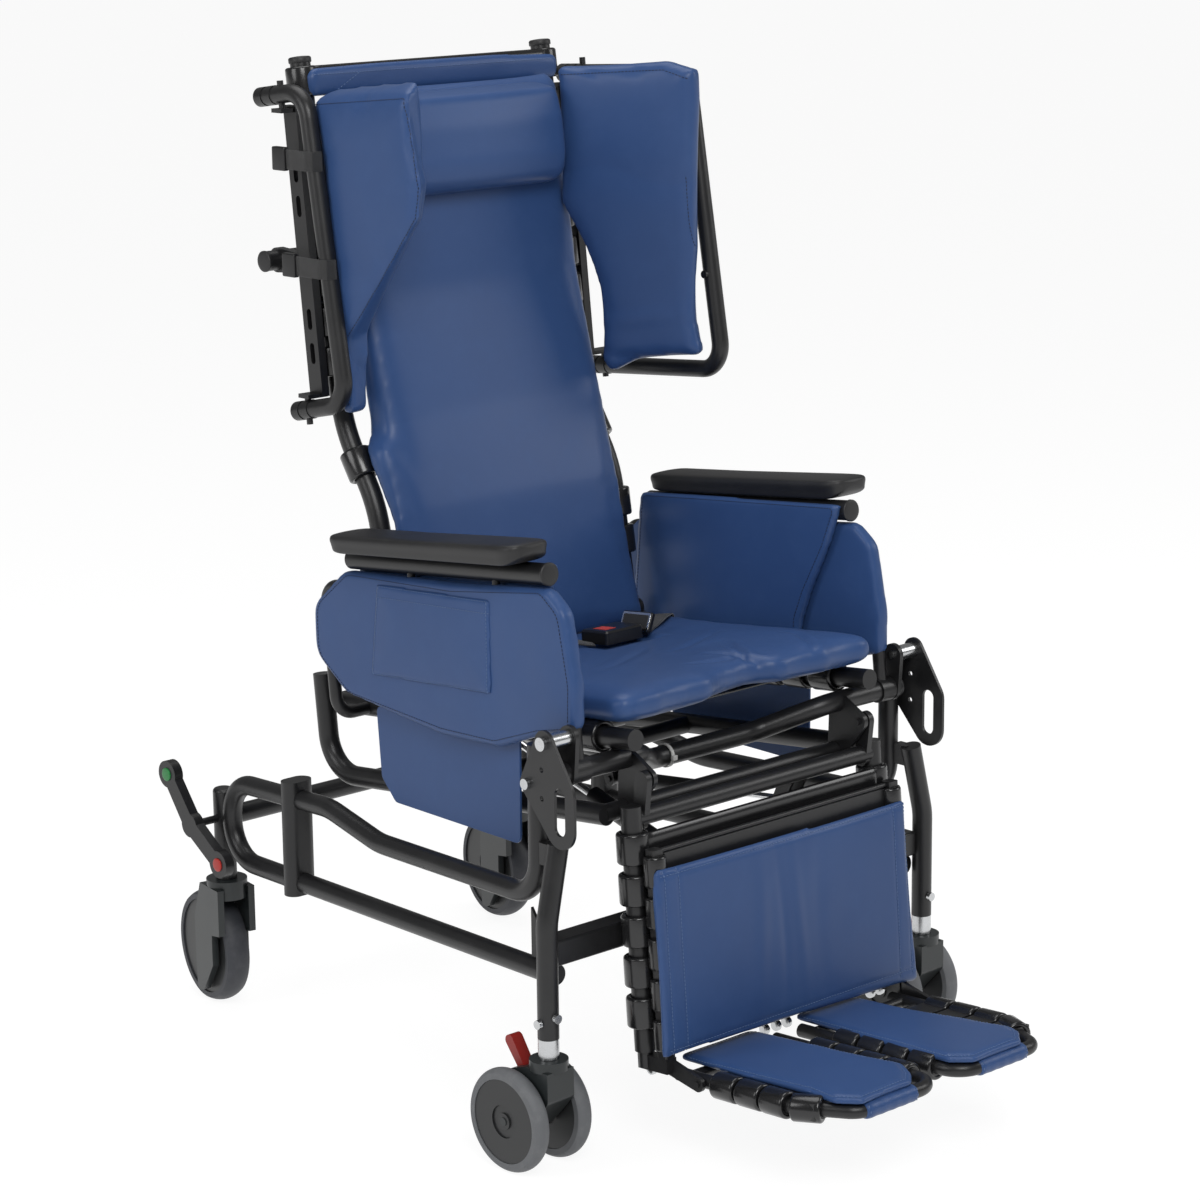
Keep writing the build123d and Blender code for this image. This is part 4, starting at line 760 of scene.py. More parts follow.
# ---- seat cushion: a thin vinyl pad, two lobes at its front edge, creased where it folds
seatPad = {"low": 0.0062, "high": 0.036, "half": 0.219, "front": -0.031, "rear": 0.373, "corner": 0.03, "rim": 0.012,
           "voxel": 0.0062, "crown": 0.003, "puff": {"pressure": 4.0, "cap": 0.005, "frames": 18}}
half, front, rear = seatPad["half"], seatPad["front"], seatPad["rear"]
seatOutline = roundedCorners([(-half, front, 0.03), (-0.16, front - 0.003), (-0.07, front + 0.002, 0.05),
                              (0.0, front + 0.026, 0.03), (0.028, front + 0.03, 0.02), (0.055, front + 0.007, 0.03),
                              (0.13, front), (half, front + 0.002, 0.024), (half, rear), (-half, rear)],
                             seatPad["corner"], 5)
seatPiece = slab("seat_pad", seatOutline, seatPad["low"], seatPad["high"], seatPad["rim"], "vinyl_blue",
                 seatPad["voxel"])
crowned(seatPiece, seatOutline, (seatPad["low"] + seatPad["high"]) / 2, seatPad["crown"], 0.09, 0.004, 0.0012, 3.1)
puffed(seatPiece, seatPad["puff"])
relaxed(seatPiece, 1)
finer(seatPiece)
hollow = {"middle": (0.03, 0.25), "half": (0.037, 0.03), "top": 0.0375, "soft": 0.022}  # pressed in by the buckle
for vertex in seatPiece.data.vertices:
    out = max(0.0, abs(vertex.co.x - hollow["middle"][0]) - hollow["half"][0],
              abs(vertex.co.y - hollow["middle"][1]) - hollow["half"][1])
    share = min(1.0, out / hollow["soft"])
    share = share * share * (3 - 2 * share)
    if vertex.co.z > hollow["top"]:
        vertex.co.z = hollow["top"] + (vertex.co.z - hollow["top"]) * share
seatFolds = [  # start, end, depth, width of the creases that the sitter's weight has left
    ((0.02, 0.006), (0.075, 0.105), 0.0032, 0.010), ((0.035, -0.012), (0.012, 0.06), 0.0040, 0.012),
    ((0.11, -0.02), (0.16, 0.07), 0.0028, 0.011), ((0.0, 0.11), (0.12, 0.16), 0.0018, 0.012),
    ((-0.12, 0.1), (0.0, 0.16), 0.0015, 0.014), ((0.03, 0.02), (-0.05, 0.03), 0.0022, 0.009),
]
for (u0, v0), (u1, v1), depth, width in seatFolds:
    steps = 24
    line = []
    for k in range(steps + 1):
        t = k / steps
        bend = 0.006 * math.sin(t * math.pi) + 0.0015 * math.sin(t * 9)
        line.append(Vector((u0 + (u1 - u0) * t + bend, v0 + (v1 - v0) * t - bend * 0.5, seatPad["high"] + 0.003)))
    for vertex in seatPiece.data.vertices:
        if vertex.co.z < (seatPad["low"] + seatPad["high"]) / 2:
            continue
        close = min(((vertex.co.x - p.x) ** 2 + (vertex.co.y - p.y) ** 2, k) for k, p in enumerate(line))
        gap, k = math.sqrt(close[0]), close[1]
        if gap < width * 2.5:
            fade = math.sin(math.pi * min(1.0, (k + 3) / (steps + 6)))
            groove = math.exp(-(gap / (width * 0.35)) ** 2)
            ridge = math.exp(-((gap - width) / (width * 0.5)) ** 2)
            vertex.co.z += depth * fade * (-groove + 0.45 * ridge)
seatPiece.data.update()
settle(seatPiece, seatTop)
upholstered(seatPiece, "seat", 0.5, "seat_cushion")
print("seat cushion")

# ---- back cushion: one long padded panel, its front crowned and its sides drawn in below the wings
backPanel = {"face": [(0.508, 1.216), (0.474, 0.963), (0.434, 0.818), (0.394, 0.705), (0.3495, 0.507)],
             "rear": [(0.543, 1.216), (0.507, 0.963), (0.476, 0.797), (0.409, 0.690), (0.3795, 0.507)], "narrow": 0.187,
             "wide": 0.1965, "shift": (-0.0035, -0.0145), "step": (0.8, 0.775), "crown": 0.007, "voxel": 0.0075,
             "puff": {"pressure": 4.0, "cap": 0.006, "frames": 16}}


def alongLine(points, up):
    for (r0, u0), (r1, u1) in zip(points, points[1:]):
        if u1 <= up <= u0:
            return r0 + (r1 - r0) * (u0 - up) / (u0 - u1)
    return points[0][0] if up > points[0][1] else points[-1][0]


def loftPiece(name, stations, finish, voxel):
    # closed skin through rings of equal counts, then one even mesh
    points, faces = [], []
    count = len(stations[0])
    for ring in stations:
        points += ring
    for s in range(len(stations) - 1):
        for k in range(count):
            a, b = s * count + k, s * count + (k + 1) % count
            faces.append((a, b, b + count, a + count))
    faces.append(tuple(reversed(range(count))))
    faces.append(tuple((len(stations) - 1) * count + k for k in range(count)))
    piece = meshPiece(name, points, faces, finish)
    if voxel:
        evenMesh(piece, voxel)
    return piece


def padRing(center, wide, deep, halfWide, halfDeep, corner, crownFront, crownRear, steps=6, flat=14):
    # a rounded rectangle with swelling faces: wide and deep are unit directions, deep points to the front
    ring = []
    corner = min(corner, halfDeep * 0.95, halfWide * 0.95)
    for sign, crown in ((1, crownFront), (-1, crownRear)):
        for k in range(flat + 1):
            t = -1 + 2 * k / flat
            a = sign * t * (halfWide - corner)
            ring.append(center + wide * a + deep * (sign * (halfDeep + crown * (1 - (a / halfWide) ** 2))))
        for k in range(1, steps):
            angle = math.pi / 2 * k / steps
            a = sign * (halfWide - corner + corner * math.sin(angle))
            ring.append(center + wide * a + deep * (sign * (halfDeep - corner + corner * math.cos(angle))))
        for k in range(0, steps):
            angle = math.pi / 2 * k / steps
            a = sign * (halfWide - corner + corner * math.cos(angle))
            ring.append(center + wide * a - deep * (sign * (halfDeep - corner + corner * math.sin(angle))))
    return ring


stations = []
topUp, footUp = backPanel["face"][0][1] - 0.001, backPanel["face"][-1][1] + 0.001
for k in range(61):
    t = k / 60
    up = topUp + (footUp - topUp) * t
    closing = min(1.0, min(t, 1 - t) / 0.02)
    shrink = math.sqrt(max(0.0, 1 - (1 - closing) ** 2))
    near, far = alongLine(backPanel["face"], up), alongLine(backPanel["rear"], up)
    low = backPanel["step"][1]
    high = backPanel["step"][0]
    mixed = max(0.0, min(1.0, (high - up) / (high - low)))
    mixed = mixed * mixed * (3 - 2 * mixed)
    wide = backPanel["narrow"] + (backPanel["wide"] - backPanel["narrow"]) * mixed
    wide -= 0.003 * math.sin(math.pi * max(0.0, min(1.0, (low - up) / (low - footUp)))) if up < low else 0
    depth = max((far - near) / 2 * (0.45 + 0.55 * shrink), 0.006)
    shift = backPanel["shift"][0] + (backPanel["shift"][1] - backPanel["shift"][0]) * mixed
    center = floorAt(shift, (near + far) / 2, up)
    stations.append(padRing(center, Vector((1, 0, 0)), Vector((0, -1, 0)), wide - (1 - shrink) * 0.008, depth - 0.002,
                            0.012, backPanel["crown"] * 0.4, 0.0))
backPiece = loftPiece("back_panel", stations, "vinyl_blue", backPanel["voxel"])
puffed(backPiece, backPanel["puff"])
relaxed(backPiece, 1)
finer(backPiece)
settle(backPiece, Matrix.Identity(4))
upholstered(backPiece, "back", 0.55, "back_cushion")
print("back cushion")

# ---- head pillow: a soft block on the top of the back, its lower edge rolled under
pillowPad = {"half": 0.136, "middle": -0.002, "front": [(0.462, 1.203), (0.449, 1.165), (0.443, 1.12), (0.447, 1.085)],
             "rear": [(0.505, 1.206), (0.499, 1.165), (0.494, 1.12), (0.488, 1.078)], "crown": 0.006, "voxel": 0.005,
             "puff": {"pressure": 5.0, "cap": 0.005, "frames": 16}}
stations = []
for k in range(31):
    t = k / 30
    up = 1.205 + (1.079 - 1.205) * t
    closing = min(1.0, min(t / 0.07, (1 - t) / 0.2))
    shrink = math.sqrt(max(0.0, 1 - (1 - closing) ** 2))
    near, far = alongLine(pillowPad["front"], up), alongLine(pillowPad["rear"], up)
    near = far - (far - near) * (0.35 + 0.65 * shrink)
    center = floorAt(pillowPad["middle"], (near + far) / 2, up)
    stations.append(padRing(center, Vector((1, 0, 0)), Vector((0, -1, 0)), pillowPad["half"] - (1 - shrink) * 0.006,
                            (far - near) / 2, 0.013, pillowPad["crown"] * 0.5, 0.0))
pillowPiece = loftPiece("head_pad", stations, "vinyl_blue", pillowPad["voxel"])
puffed(pillowPiece, pillowPad["puff"])
relaxed(pillowPiece, 2)
finer(pillowPiece)
settle(pillowPiece, Matrix.Identity(4))
upholstered(pillowPiece, "back", 0.7, "head_pillow")
print("head pillow")

# ---- wing pads: firm foam flags in sewn covers
nearWing = {"outline": [(0.509, 1.207, 0.008), (0.326, 1.2235, 0.008), (0.303, 1.116, 0.03), (0.31, 1.072, 0.014),
                        (0.452, 0.911, 0.02), (0.444, 0.826, 0.008), (0.47, 0.822, 0.006)],
            "inner": [(0.506, 1.219, 0.008), (0.335, 1.238, 0.008), (0.334, 1.112, 0.03), (0.345, 1.066, 0.014),
                      (0.441, 0.925, 0.02), (0.455, 0.826, 0.008), (0.474, 0.822, 0.006)], "low": -0.2265,
            "high": -0.1995, "rim": 0.005, "voxel": 0.0048, "crown": 0.003,
            "puff": {"pressure": 4.0, "cap": 0.0035, "frames": 16}}
nearOutline = roundedCorners(nearWing["outline"], 0.006, 3)
nearPiece = slab("near_wing_pad", nearOutline, nearWing["low"], nearWing["high"], nearWing["rim"], "vinyl_blue",
                 nearWing["voxel"], roundedCorners(nearWing["inner"], 0.006, 3))
crowned(nearPiece, nearOutline, (nearWing["low"] + nearWing["high"]) / 2, nearWing["crown"], 0.06, 0.002, 0.0008, 7.7)
puffed(nearPiece, nearWing["puff"])
relaxed(nearPiece, 1)
finer(nearPiece)
settle(nearPiece, floorSide)
upholstered(nearPiece, "wing_right", 0.75, "wing_pad_right")
nearSeam = [(0.502, 1.199), (0.334, 1.215), (0.3125, 1.112), (0.319, 1.076), (0.4585, 0.915), (0.452, 0.838)]
nearLine = onSkin(nearPiece, [floorAt(-0.213, *p[:2]) for p in pathOver([(u, v, 0) for u, v in nearSeam], 0.003)],
                  Vector((1, 0, 0)))
stitched("near_wing_stitches", [nearLine], "wing_right")

farWing = {"inner": (0.144, 0.476), "outer": (0.222, 0.296), "thick": 0.0225, "rim": 0.005, "voxel": 0.0048,
           "crown": 0.003, "puff": {"pressure": 4.0, "cap": 0.0035, "frames": 16}}
farRun = math.hypot(farWing["outer"][0] - farWing["inner"][0], farWing["outer"][1] - farWing["inner"][1])
farWay = ((farWing["outer"][0] - farWing["inner"][0]) / farRun, (farWing["outer"][1] - farWing["inner"][1]) / farRun)
farPlace = placeBy(lambda u, v, w: floorAt(farWing["inner"][0] + farWay[0] * u - farWay[1] * w,
                                           farWing["inner"][1] + farWay[1] * u + farWay[0] * w, v))
farOutline = roundedCorners([(-0.005, 1.2265, 0.006), (0.148, 1.2365, 0.02), (0.19, 1.225, 0.008), (0.192, 1.187, 0.02),
                             (0.188, 0.998, 0.05), (0.186, 0.908, 0.04), (0.195, 0.86, 0.008), (0.104, 0.849, 0.02),
                             (0.066, 0.829, 0.01), (0.054, 0.85, 0.015), (0.051, 0.94, 0.04), (0.022, 1.01, 0.04),
                             (-0.003, 1.052, 0.02)], 0.006, 3)
farPiece = slab("far_wing_pad", farOutline, 0.0008, 0.0232, farWing["rim"], "vinyl_blue", farWing["voxel"])
crowned(farPiece, farOutline, 0.012, farWing["crown"], 0.06, 0.002, 0.0008, 1.3)
for vertex in farPiece.data.vertices:
    # the cover turns at a soft fold a third of the way down, and wrinkles near its foot
    if vertex.co.z < 0.012:
        fold = 1.09 + 0.01 * math.sin(vertex.co.x * 30)
        over = vertex.co.y - fold
        wrinkle = vertex.co.y - 0.89 - 0.15 * vertex.co.x
        vertex.co.z += 0.0035 * math.exp(-(over / 0.05) ** 2) * (-1 if over > 0 else 1) * over / 0.05
        vertex.co.z -= 0.0016 * math.exp(-(wrinkle / 0.009) ** 2) * math.exp(-((vertex.co.x - 0.12) / 0.06) ** 2)
        vertex.co.z += 0.002 * math.exp(-((vertex.co.y - 0.87 + 0.2 * vertex.co.x) / 0.008) ** 2)
puffed(farPiece, farWing["puff"])
relaxed(farPiece, 1)
finer(farPiece)
settle(farPiece, farPlace)
upholstered(farPiece, "wing_left", 0.75, "wing_pad_left")
farSeams = []
for seam in ([(0.176, 1.088), (0.18, 1.03), (0.187, 0.985)], [(0.006, 1.214), (0.146, 1.223), (0.178, 1.213)]):
    points = [farPlace @ Vector((p[0], p[1], 0.012)) for p in pathOver([(u, v, 0) for u, v in seam], 0.003)]
    farSeams.append(onSkin(farPiece, points, farPlace.to_3x3() @ Vector((0, 0, 1))))
stitched("far_wing_stitches", farSeams, "wing_left")
print("wing pads")

# ---- sleeves over the arm loops, with hanging flaps and outer pockets
sleeve = {"outline": [(0.0, 0.004, 0.008), (-0.0065, 0.055, 0.06), (0.002, 0.142, 0.03), (0.03, 0.1675, 0.02),
                      (0.2, 0.166, 0.1), (0.404, 0.1695, 0.03), (0.47, 0.126, 0.03), (0.4755, 0.062, 0.03),
                      (0.422, 0.0155, 0.03), (0.244, -0.0215, 0.06), (0.138, -0.0275, 0.03), (0.056, -0.0045, 0.03)],
          "low": 0.2462, "high": 0.2656, "rim": 0.005, "voxel": 0.0045, "crown": 0.001,
          "flap": [(0.118, -0.010), (0.385, 0.0), (0.387, -0.09), (0.364, -0.12), (0.134, -0.147)],
          "flapX": (0.2435, 0.247), "pocket": [(0.139, 0.037), (0.362, 0.044), (0.336, 0.158), (0.127, 0.15)]}
sleeveOutline = roundedCorners(sleeve["outline"], 0.02, 4)
for side, name in ((-1, "near"), (1, "far")):
    low, high = sorted((side * sleeve["low"], side * sleeve["high"]))
    coverPiece = slab(f"{name}_sleeve", sleeveOutline, low, high, sleeve["rim"], "vinyl_blue", sleeve["voxel"])
    crowned(coverPiece, sleeveOutline, (low + high) / 2, sleeve["crown"], 0.05, 0.0, 0.0011, 5.5 + side)
    relaxed(coverPiece, 1)
    finer(coverPiece)
    settle(coverPiece, seatSide)
    upholstered(coverPiece, "seat", 0.3)
    flapOutline = roundedCorners(sleeve["flap"], 0.01, 4)
    flapLow, flapHigh = sorted((side * sleeve["flapX"][0], side * sleeve["flapX"][1]))
    flapPiece = slab(f"{name}_flap", flapOutline, flapLow, flapHigh, 0.0008, "vinyl_blue", 0)
    settle(flapPiece, seatSide)
    shadedSmooth(flapPiece.data, False)
    dressed(flapPiece, "seat")
    pocketOutline = roundedCorners(sleeve["pocket"], 0.004, 3)
    pocketLow, pocketHigh = sorted((side * (sleeve["high"] - 0.001), side * (sleeve["high"] + 0.0035)))
    pocketPiece = slab(f"{name}_pocket", pocketOutline, pocketLow, pocketHigh, 0.0012, "vinyl_blue", 0.003)
    crowned(pocketPiece, pocketOutline, side * (sleeve["high"] - 0.001), 0.0018, 0.05, 0.0, 0.0006, 2.2)
    relaxed(pocketPiece, 1)
    settle(pocketPiece, seatSide)
    dressed(pocketPiece, "seat")
    way = Vector((-side, 0, 0))
    inset = roundedCorners(sleeve["outline"], 0.02, 8)
    middleOf = sum((Vector(p) for p in inset), Vector((0, 0))) / len(inset)
    seam = [p + (middleOf - p).normalized() * 0.010 for p in inset]
    seam = pathOver([(p.x, p.y, 0) for p in seam], 0.003, True)
    line = onSkin(coverPiece, [seatAt(side * 0.256, p[0], p[1]) for p in seam], way)
    stitched(f"{name}_sleeve_stitches", [line], "seat")
    pocketSeams = []
    corners = sleeve["pocket"]
    center = sum((Vector(p) for p in corners), Vector((0, 0))) / 4
    ring = [Vector(p) + (center - Vector(p)).normalized() * 0.0055 for p in corners]
    ring = pathOver([(p.x, p.y, 0) for p in ring], 0.003, True)
    pocketSeams.append(onSkin(pocketPiece, [seatAt(side * 0.266, p[0], p[1]) for p in ring], way))
    hem = pathOver([(corners[3][0] + 0.004, corners[3][1] - 0.016, 0),
                    (corners[2][0] - 0.004, corners[2][1] - 0.016, 0)], 0.003)
    pocketSeams.append(onSkin(pocketPiece, [seatAt(side * 0.266, p[0], p[1]) for p in hem], way))
    stitched(f"{name}_pocket_stitches", pocketSeams, "seat", "thread_blue")
    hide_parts("side_covers")
print("sleeves, flaps and pockets")

# ---- inner covers beside the sitter
innerCover = {"outline": [(0.036, 0.193, 0.006), (0.397, 0.197, 0.01), (0.425, 0.06, 0.02), (0.4, 0.014, 0.01),
                          (0.124, 0.012, 0.02), (0.119, 0.04, 0.03), (0.1, 0.079, 0.05), (0.061, 0.142, 0.06)],
              "low": 0.2296, "high": 0.2424, "rim": 0.006, "voxel": 0.005, "crown": 0.001}
innerOutline = roundedCorners(innerCover["outline"], 0.01, 4)
for side, name in ((-1, "near"), (1, "far")):
    low, high = sorted((side * innerCover["low"], side * innerCover["high"]))
    innerPiece = slab(f"{name}_inner_cover", innerOutline, low, high, innerCover["rim"], "vinyl_blue",
                      innerCover["voxel"])
    crowned(innerPiece, innerOutline, (low + high) / 2, innerCover["crown"], 0.05, 0.0, 0.0009, 9.1 + side)
    relaxed(innerPiece, 1)
    finer(innerPiece)
    settle(innerPiece, seatSide)
    upholstered(innerPiece, "seat", 0.3)
    center = sum((Vector(p) for p in innerOutline), Vector((0, 0))) / len(innerOutline)
    seam = [p + (center - p).normalized() * 0.009 for p in innerOutline]
    seam = pathOver([(p.x, p.y, 0) for p in seam], 0.003, True)
    line = onSkin(innerPiece, [seatAt(side * 0.236, p[0], p[1]) for p in seam], Vector((side, 0, 0)))
    stitched(f"{name}_inner_stitches", [line], "seat")
    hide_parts("inner_covers")
print("inner covers")

# ---- calf pad: flat, with a pressed rim and a stitched border
calfPad = {"outline": [(-0.2205, -0.3215), (0.2175, -0.3325), (0.2085, -0.097), (-0.2165, -0.096),
                       (-0.2205, -0.135, 0.06)], "low": 0.0345, "high": 0.0422, "rim": 0.003, "voxel": 0.0042,
           "crown": 0.0014, "hem": 0.008, "border": 0.03}
calfOutline = roundedCorners(calfPad["outline"], 0.006, 4)
calfPiece = slab("calf_panel", calfOutline, calfPad["low"], calfPad["high"], calfPad["rim"], "vinyl_blue",
                 calfPad["voxel"])
crowned(calfPiece, calfOutline, (calfPad["low"] + calfPad["high"]) / 2, calfPad["crown"], 0.05, 0.0015, 0.0009, 4.4)
puffed(calfPiece, {"pressure": 3.0, "cap": 0.0015, "frames": 12})
relaxed(calfPiece, 1)
finer(calfPiece)
calfTop, calfFoot, calfSide = -0.097, -0.321, 0.2125
calfLines = []
for side in (-1, 1):
    for inset in (calfPad["hem"], calfPad["border"]):
        calfLines.append(pathOver([(side * (calfSide - inset), calfFoot + 0.004, calfPad["high"]),
                                   (side * (calfSide - inset), calfTop - 0.004, calfPad["high"])], 0.003))
for level in (calfTop - calfPad["hem"], calfFoot + calfPad["hem"]):
    calfLines.append(pathOver([(-calfSide + 0.004, level, calfPad["high"]), (calfSide - 0.004, level, calfPad["high"])],
                              0.003))
creased(calfPiece, [p for line in calfLines for p in line], 0.0013, 0.0032)
for vertex in calfPiece.data.vertices:  # soft folds hanging down the middle
    if vertex.co.z > (calfPad["low"] + calfPad["high"]) / 2:
        for middle, wide, high in ((-0.055, 0.011, 0.0016), (-0.02, 0.007, -0.0014), (0.012, 0.009, 0.0015),
                                   (0.05, 0.012, -0.001)):
            sway = middle + 0.006 * math.sin(vertex.co.y * 17 + middle * 40)
            fade = math.exp(-((vertex.co.y + 0.2) / 0.085) ** 2)
            vertex.co.z += high * fade * math.exp(-((vertex.co.x - sway) / wide) ** 2)
settle(calfPiece, legFront)
upholstered(calfPiece, "carriage", 0.5, "calf_pad")
frontWay = legFront.to_3x3() @ Vector((0, 0, -1))
stitched("calf_stitches", [onSkin(calfPiece, [legFront @ Vector(p) for p in line], frontWay) for line in calfLines],
         "carriage", "thread_blue")
print("calf pad")

# ---- foot pads
footPad = {"low": -0.0010, "high": 0.0062, "rim": 0.003, "voxel": 0.0035, "crown": 0.001,
           "right": [(0.049, -0.012), (0.171, -0.012), (0.172, 0.1, 0.06), (0.168, 0.2, 0.03), (0.171, 0.24, 0.008),
                     (0.153, 0.267, 0.006), (0.069, 0.265, 0.008), (0.05, 0.249, 0.01), (0.028, 0.215, 0.02),
                     (0.036, 0.165, 0.04), (0.041, 0.094, 0.05)],
           "left": [(0.0225, -0.012), (0.123, -0.012), (0.127, 0.078, 0.05), (0.1405, 0.152, 0.05),
                    (0.1445, 0.19, 0.03), (0.152, 0.2235, 0.012), (0.144, 0.2435, 0.01), (0.118, 0.268, 0.008),
                    (0.036, 0.269, 0.008), (0.0145, 0.245, 0.01), (0.014, 0.17, 0.05), (0.018, 0.071, 0.05)],
           "sleeve": {"right": (0.06, 0.146), "left": (0.046, 0.131), "fore": 0.259, "rise": -0.0115, "radius": 0.0104}}
for side, name in ((-1, "right"), (1, "left")):
    sole = roundedCorners([(side * spot[0], *spot[1:]) for spot in footPad[name]], 0.011, 4)
    if side < 0:
        sole = list(reversed(sole))
    solePiece = slab(f"foot_cushion_{name}", sole, footPad["low"], footPad["high"], footPad["rim"], "vinyl_blue",
                     footPad["voxel"])
    crowned(solePiece, sole, (footPad["low"] + footPad["high"]) / 2, footPad["crown"], 0.03, 0.001, 0.0006, 6.6 + side)
    puffed(solePiece, {"pressure": 3.0, "cap": 0.0012, "frames": 10})
    relaxed(solePiece, 1)
    finer(solePiece)
    center = sum((Vector(p) for p in sole), Vector((0, 0))) / len(sole)
    ring = [Vector((p.x, p.y, 0)) + (Vector((center.x, center.y, 0)) - Vector((p.x, p.y, 0))).normalized() * 0.008
            for p in sole]
    border = pathOver([(p.x, p.y, footPad["high"] + 0.001) for p in ring], 0.003, True)
    creased(solePiece, border, 0.0012, 0.003)
    settle(solePiece, footTop)
    upholstered(solePiece, f"foot_{name}", 0.5, f"foot_pad_{name}")
    downWay = footTop.to_3x3() @ Vector((0, 0, -1))
    line = onSkin(solePiece, [footTop @ Vector(p) for p in border], downWay)
    stitched(f"foot_stitches_{name}", [line], f"foot_{name}", "thread_blue")
    toe = footPad["sleeve"]  # the pad's front edge is carried round the toe tube
    rings = []
    for k in range(17):
        x = toe[name][0] + (toe[name][1] - toe[name][0]) * k / 16
        swell = toe["radius"] * (1 + 0.035 * math.sin(k * 1.9)) - (0.0012 if k in (0, 16) else 0)
        ring = []
        for turn in range(20):
            angle = 2 * math.pi * turn / 20
            wide = swell * (1.15 if math.cos(angle) < 0 and math.sin(angle) > 0.2 else 1.0)
            ring.append(footAt(side * x, toe["fore"] + wide * math.cos(angle), toe["rise"] + wide * math.sin(angle)))
        rings.append(ring)
    toePiece = loftPiece(f"toe_sleeve_{name}", rings, "vinyl_blue", 0)
    finer(toePiece)
    shadedSmooth(toePiece.data)
    dressed(toePiece, f"foot_{name}")
    toeSeams = [onSkin(toePiece, [footAt(side * x, toe["fore"] + 0.004, toe["rise"] + rise / 1000)
                                  for rise in range(-6, 7, 2)], footTop.to_3x3() @ Vector((0, -1, 0)), far=0.03)
                for x in (toe[name][0] + 0.004, toe[name][1] - 0.004)]
    stitched(f"toe_stitches_{name}", toeSeams, f"foot_{name}", "thread_blue")
print("foot pads")


# ---- vinyl straps wound round the rails: beads from the tree, webs between them
straps = {"inner": 0.0129, "outer": 0.0197, "width": 0.0372, "thick": 0.0034, "web": 0.0159, "pitch": 0.0485,
          "backRuns": [(0.1445, 0.775), (0.078, 0.327), (0.015, 0.232), (-0.014, 0.042)]}


def beadRow(name, spots, body, inner, outer, width):
    # one rounded vinyl bead on each spot, lying along the rail there
    leans = []
    for _, along in spots:
        leans += list(Vector((0, 0, 1)).rotation_difference(along).to_euler())
    data = bpy.data.meshes.new(name)
    data.from_pydata([tuple(middle) for middle, _ in spots], [], [])
    data.attributes.new("lean", "FLOAT_VECTOR", "POINT").data.foreach_set("vector", leans)
    beads = bpy.data.objects.new(name, data)
    scene.collection.objects.link(beads)
    run = beads.modifiers.new("beads", "NODES")
    run.node_group = wrapTree
    for label, value in (("Inner", inner), ("Outer", outer), ("Width", width), ("Finish", materials["strap_black"])):
        run[socketOf(wrapTree, label)] = value
    beads = meshFrom(beads)
    outward(beads, 0.00001)
    shadedSmooth(beads.data)
    dressed(beads, body)
    return beads


def strapSet(name, body, spots, spread, web, node):
    # spots: the middle of each strap, the way along the rails there, and the way that the web lies off them
    ends = [(middle + Vector((side * spread, 0, 0)), along) for middle, along, _ in spots for side in (-1, 1)]
    beads = beadRow(f"{name}_beads", ends, body, straps["inner"], straps["outer"], straps["width"])
    webPoints, webFaces = [], []
    for middle, along, off in spots:
        base = len(webPoints)
        columns = 25
        for k in range(columns):
            x = -spread + 2 * spread * k / (columns - 1)
            sag = -0.0012 * math.cos(math.pi * x / (2 * spread))
            for a, b in ((-1, -1), (-0.9, 0.8), (-0.5, 1), (0.5, 1), (0.9, 0.8), (1, -1)):
                webPoints.append(middle + Vector((x, 0, 0)) + off * (web + sag + b * straps["thick"] / 2)
                                 + along * (a * straps["width"] / 2 * 0.98))
        for k in range(columns - 1):
            for r in range(6):
                a, b = base + 6 * k + r, base + 6 * k + (r + 1) % 6
                webFaces.append((a, b, b + 6, a + 6))
        webFaces.append(tuple(base + r for r in range(6)))
        webFaces.append(tuple(base + 6 * (columns - 1) + r for r in range(6)))
    webs = meshPiece(f"{name}_webs", webPoints, webFaces, "strap_black")
    dressed(webs, body)
    for piece in (beads, webs):
        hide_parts(node)


seatUp = Vector((0, math.sin(tilt), math.cos(tilt)))
seatAlong = Vector((0, -math.cos(tilt), math.sin(tilt)))
strapSet("seat_strap", "seat", [(seatAt(0, 0.0425 + i * straps["pitch"], -0.016), seatAlong, seatUp) for i in range(8)],
         0.1975, straps["web"], "seat_straps")
spots = []
for up in [0.748 - i * straps["pitch"] for i in range(8)] + [0.283, 0.185, 0.136]:
    for (highRear, highUp), (lowRear, lowUp) in zip(straps["backRuns"], straps["backRuns"][1:]):
        if lowUp <= up:
            slope = (highRear - lowRear) / (highUp - lowUp)
            rearHere = lowRear + (up - lowUp) * slope
            break
    along = Vector((0, slope, 1)).normalized()
    spots.append((backAt(0, rearHere, up), along, Vector((0, -1, slope)).normalized()))
strapSet("back_strap", "back", spots, 0.197, straps["web"], "back_straps")
legAlong = Vector((0, -math.sin(lean), -math.cos(lean)))
legOut = Vector((0, -math.cos(lean), math.sin(lean)))
strapSet("leg_strap", "legrest", [(legAt(0, down, 0.008), legAlong, legOut)
                                  for down in (0.078, 0.127, 0.176, 0.225, 0.274)], 0.203, straps["web"], "leg_straps")
footStrap = {"fores": (0.084, 0.124, 0.164, 0.204), "outer": 0.183, "inner": 0.022, "bend": 0.190,
             "slant": (-0.033, 0.069), "radius": (0.0092, 0.0162), "width": 0.0365}
footWay = footAt(0, 1, 0) - footAt(0, 0, 0)
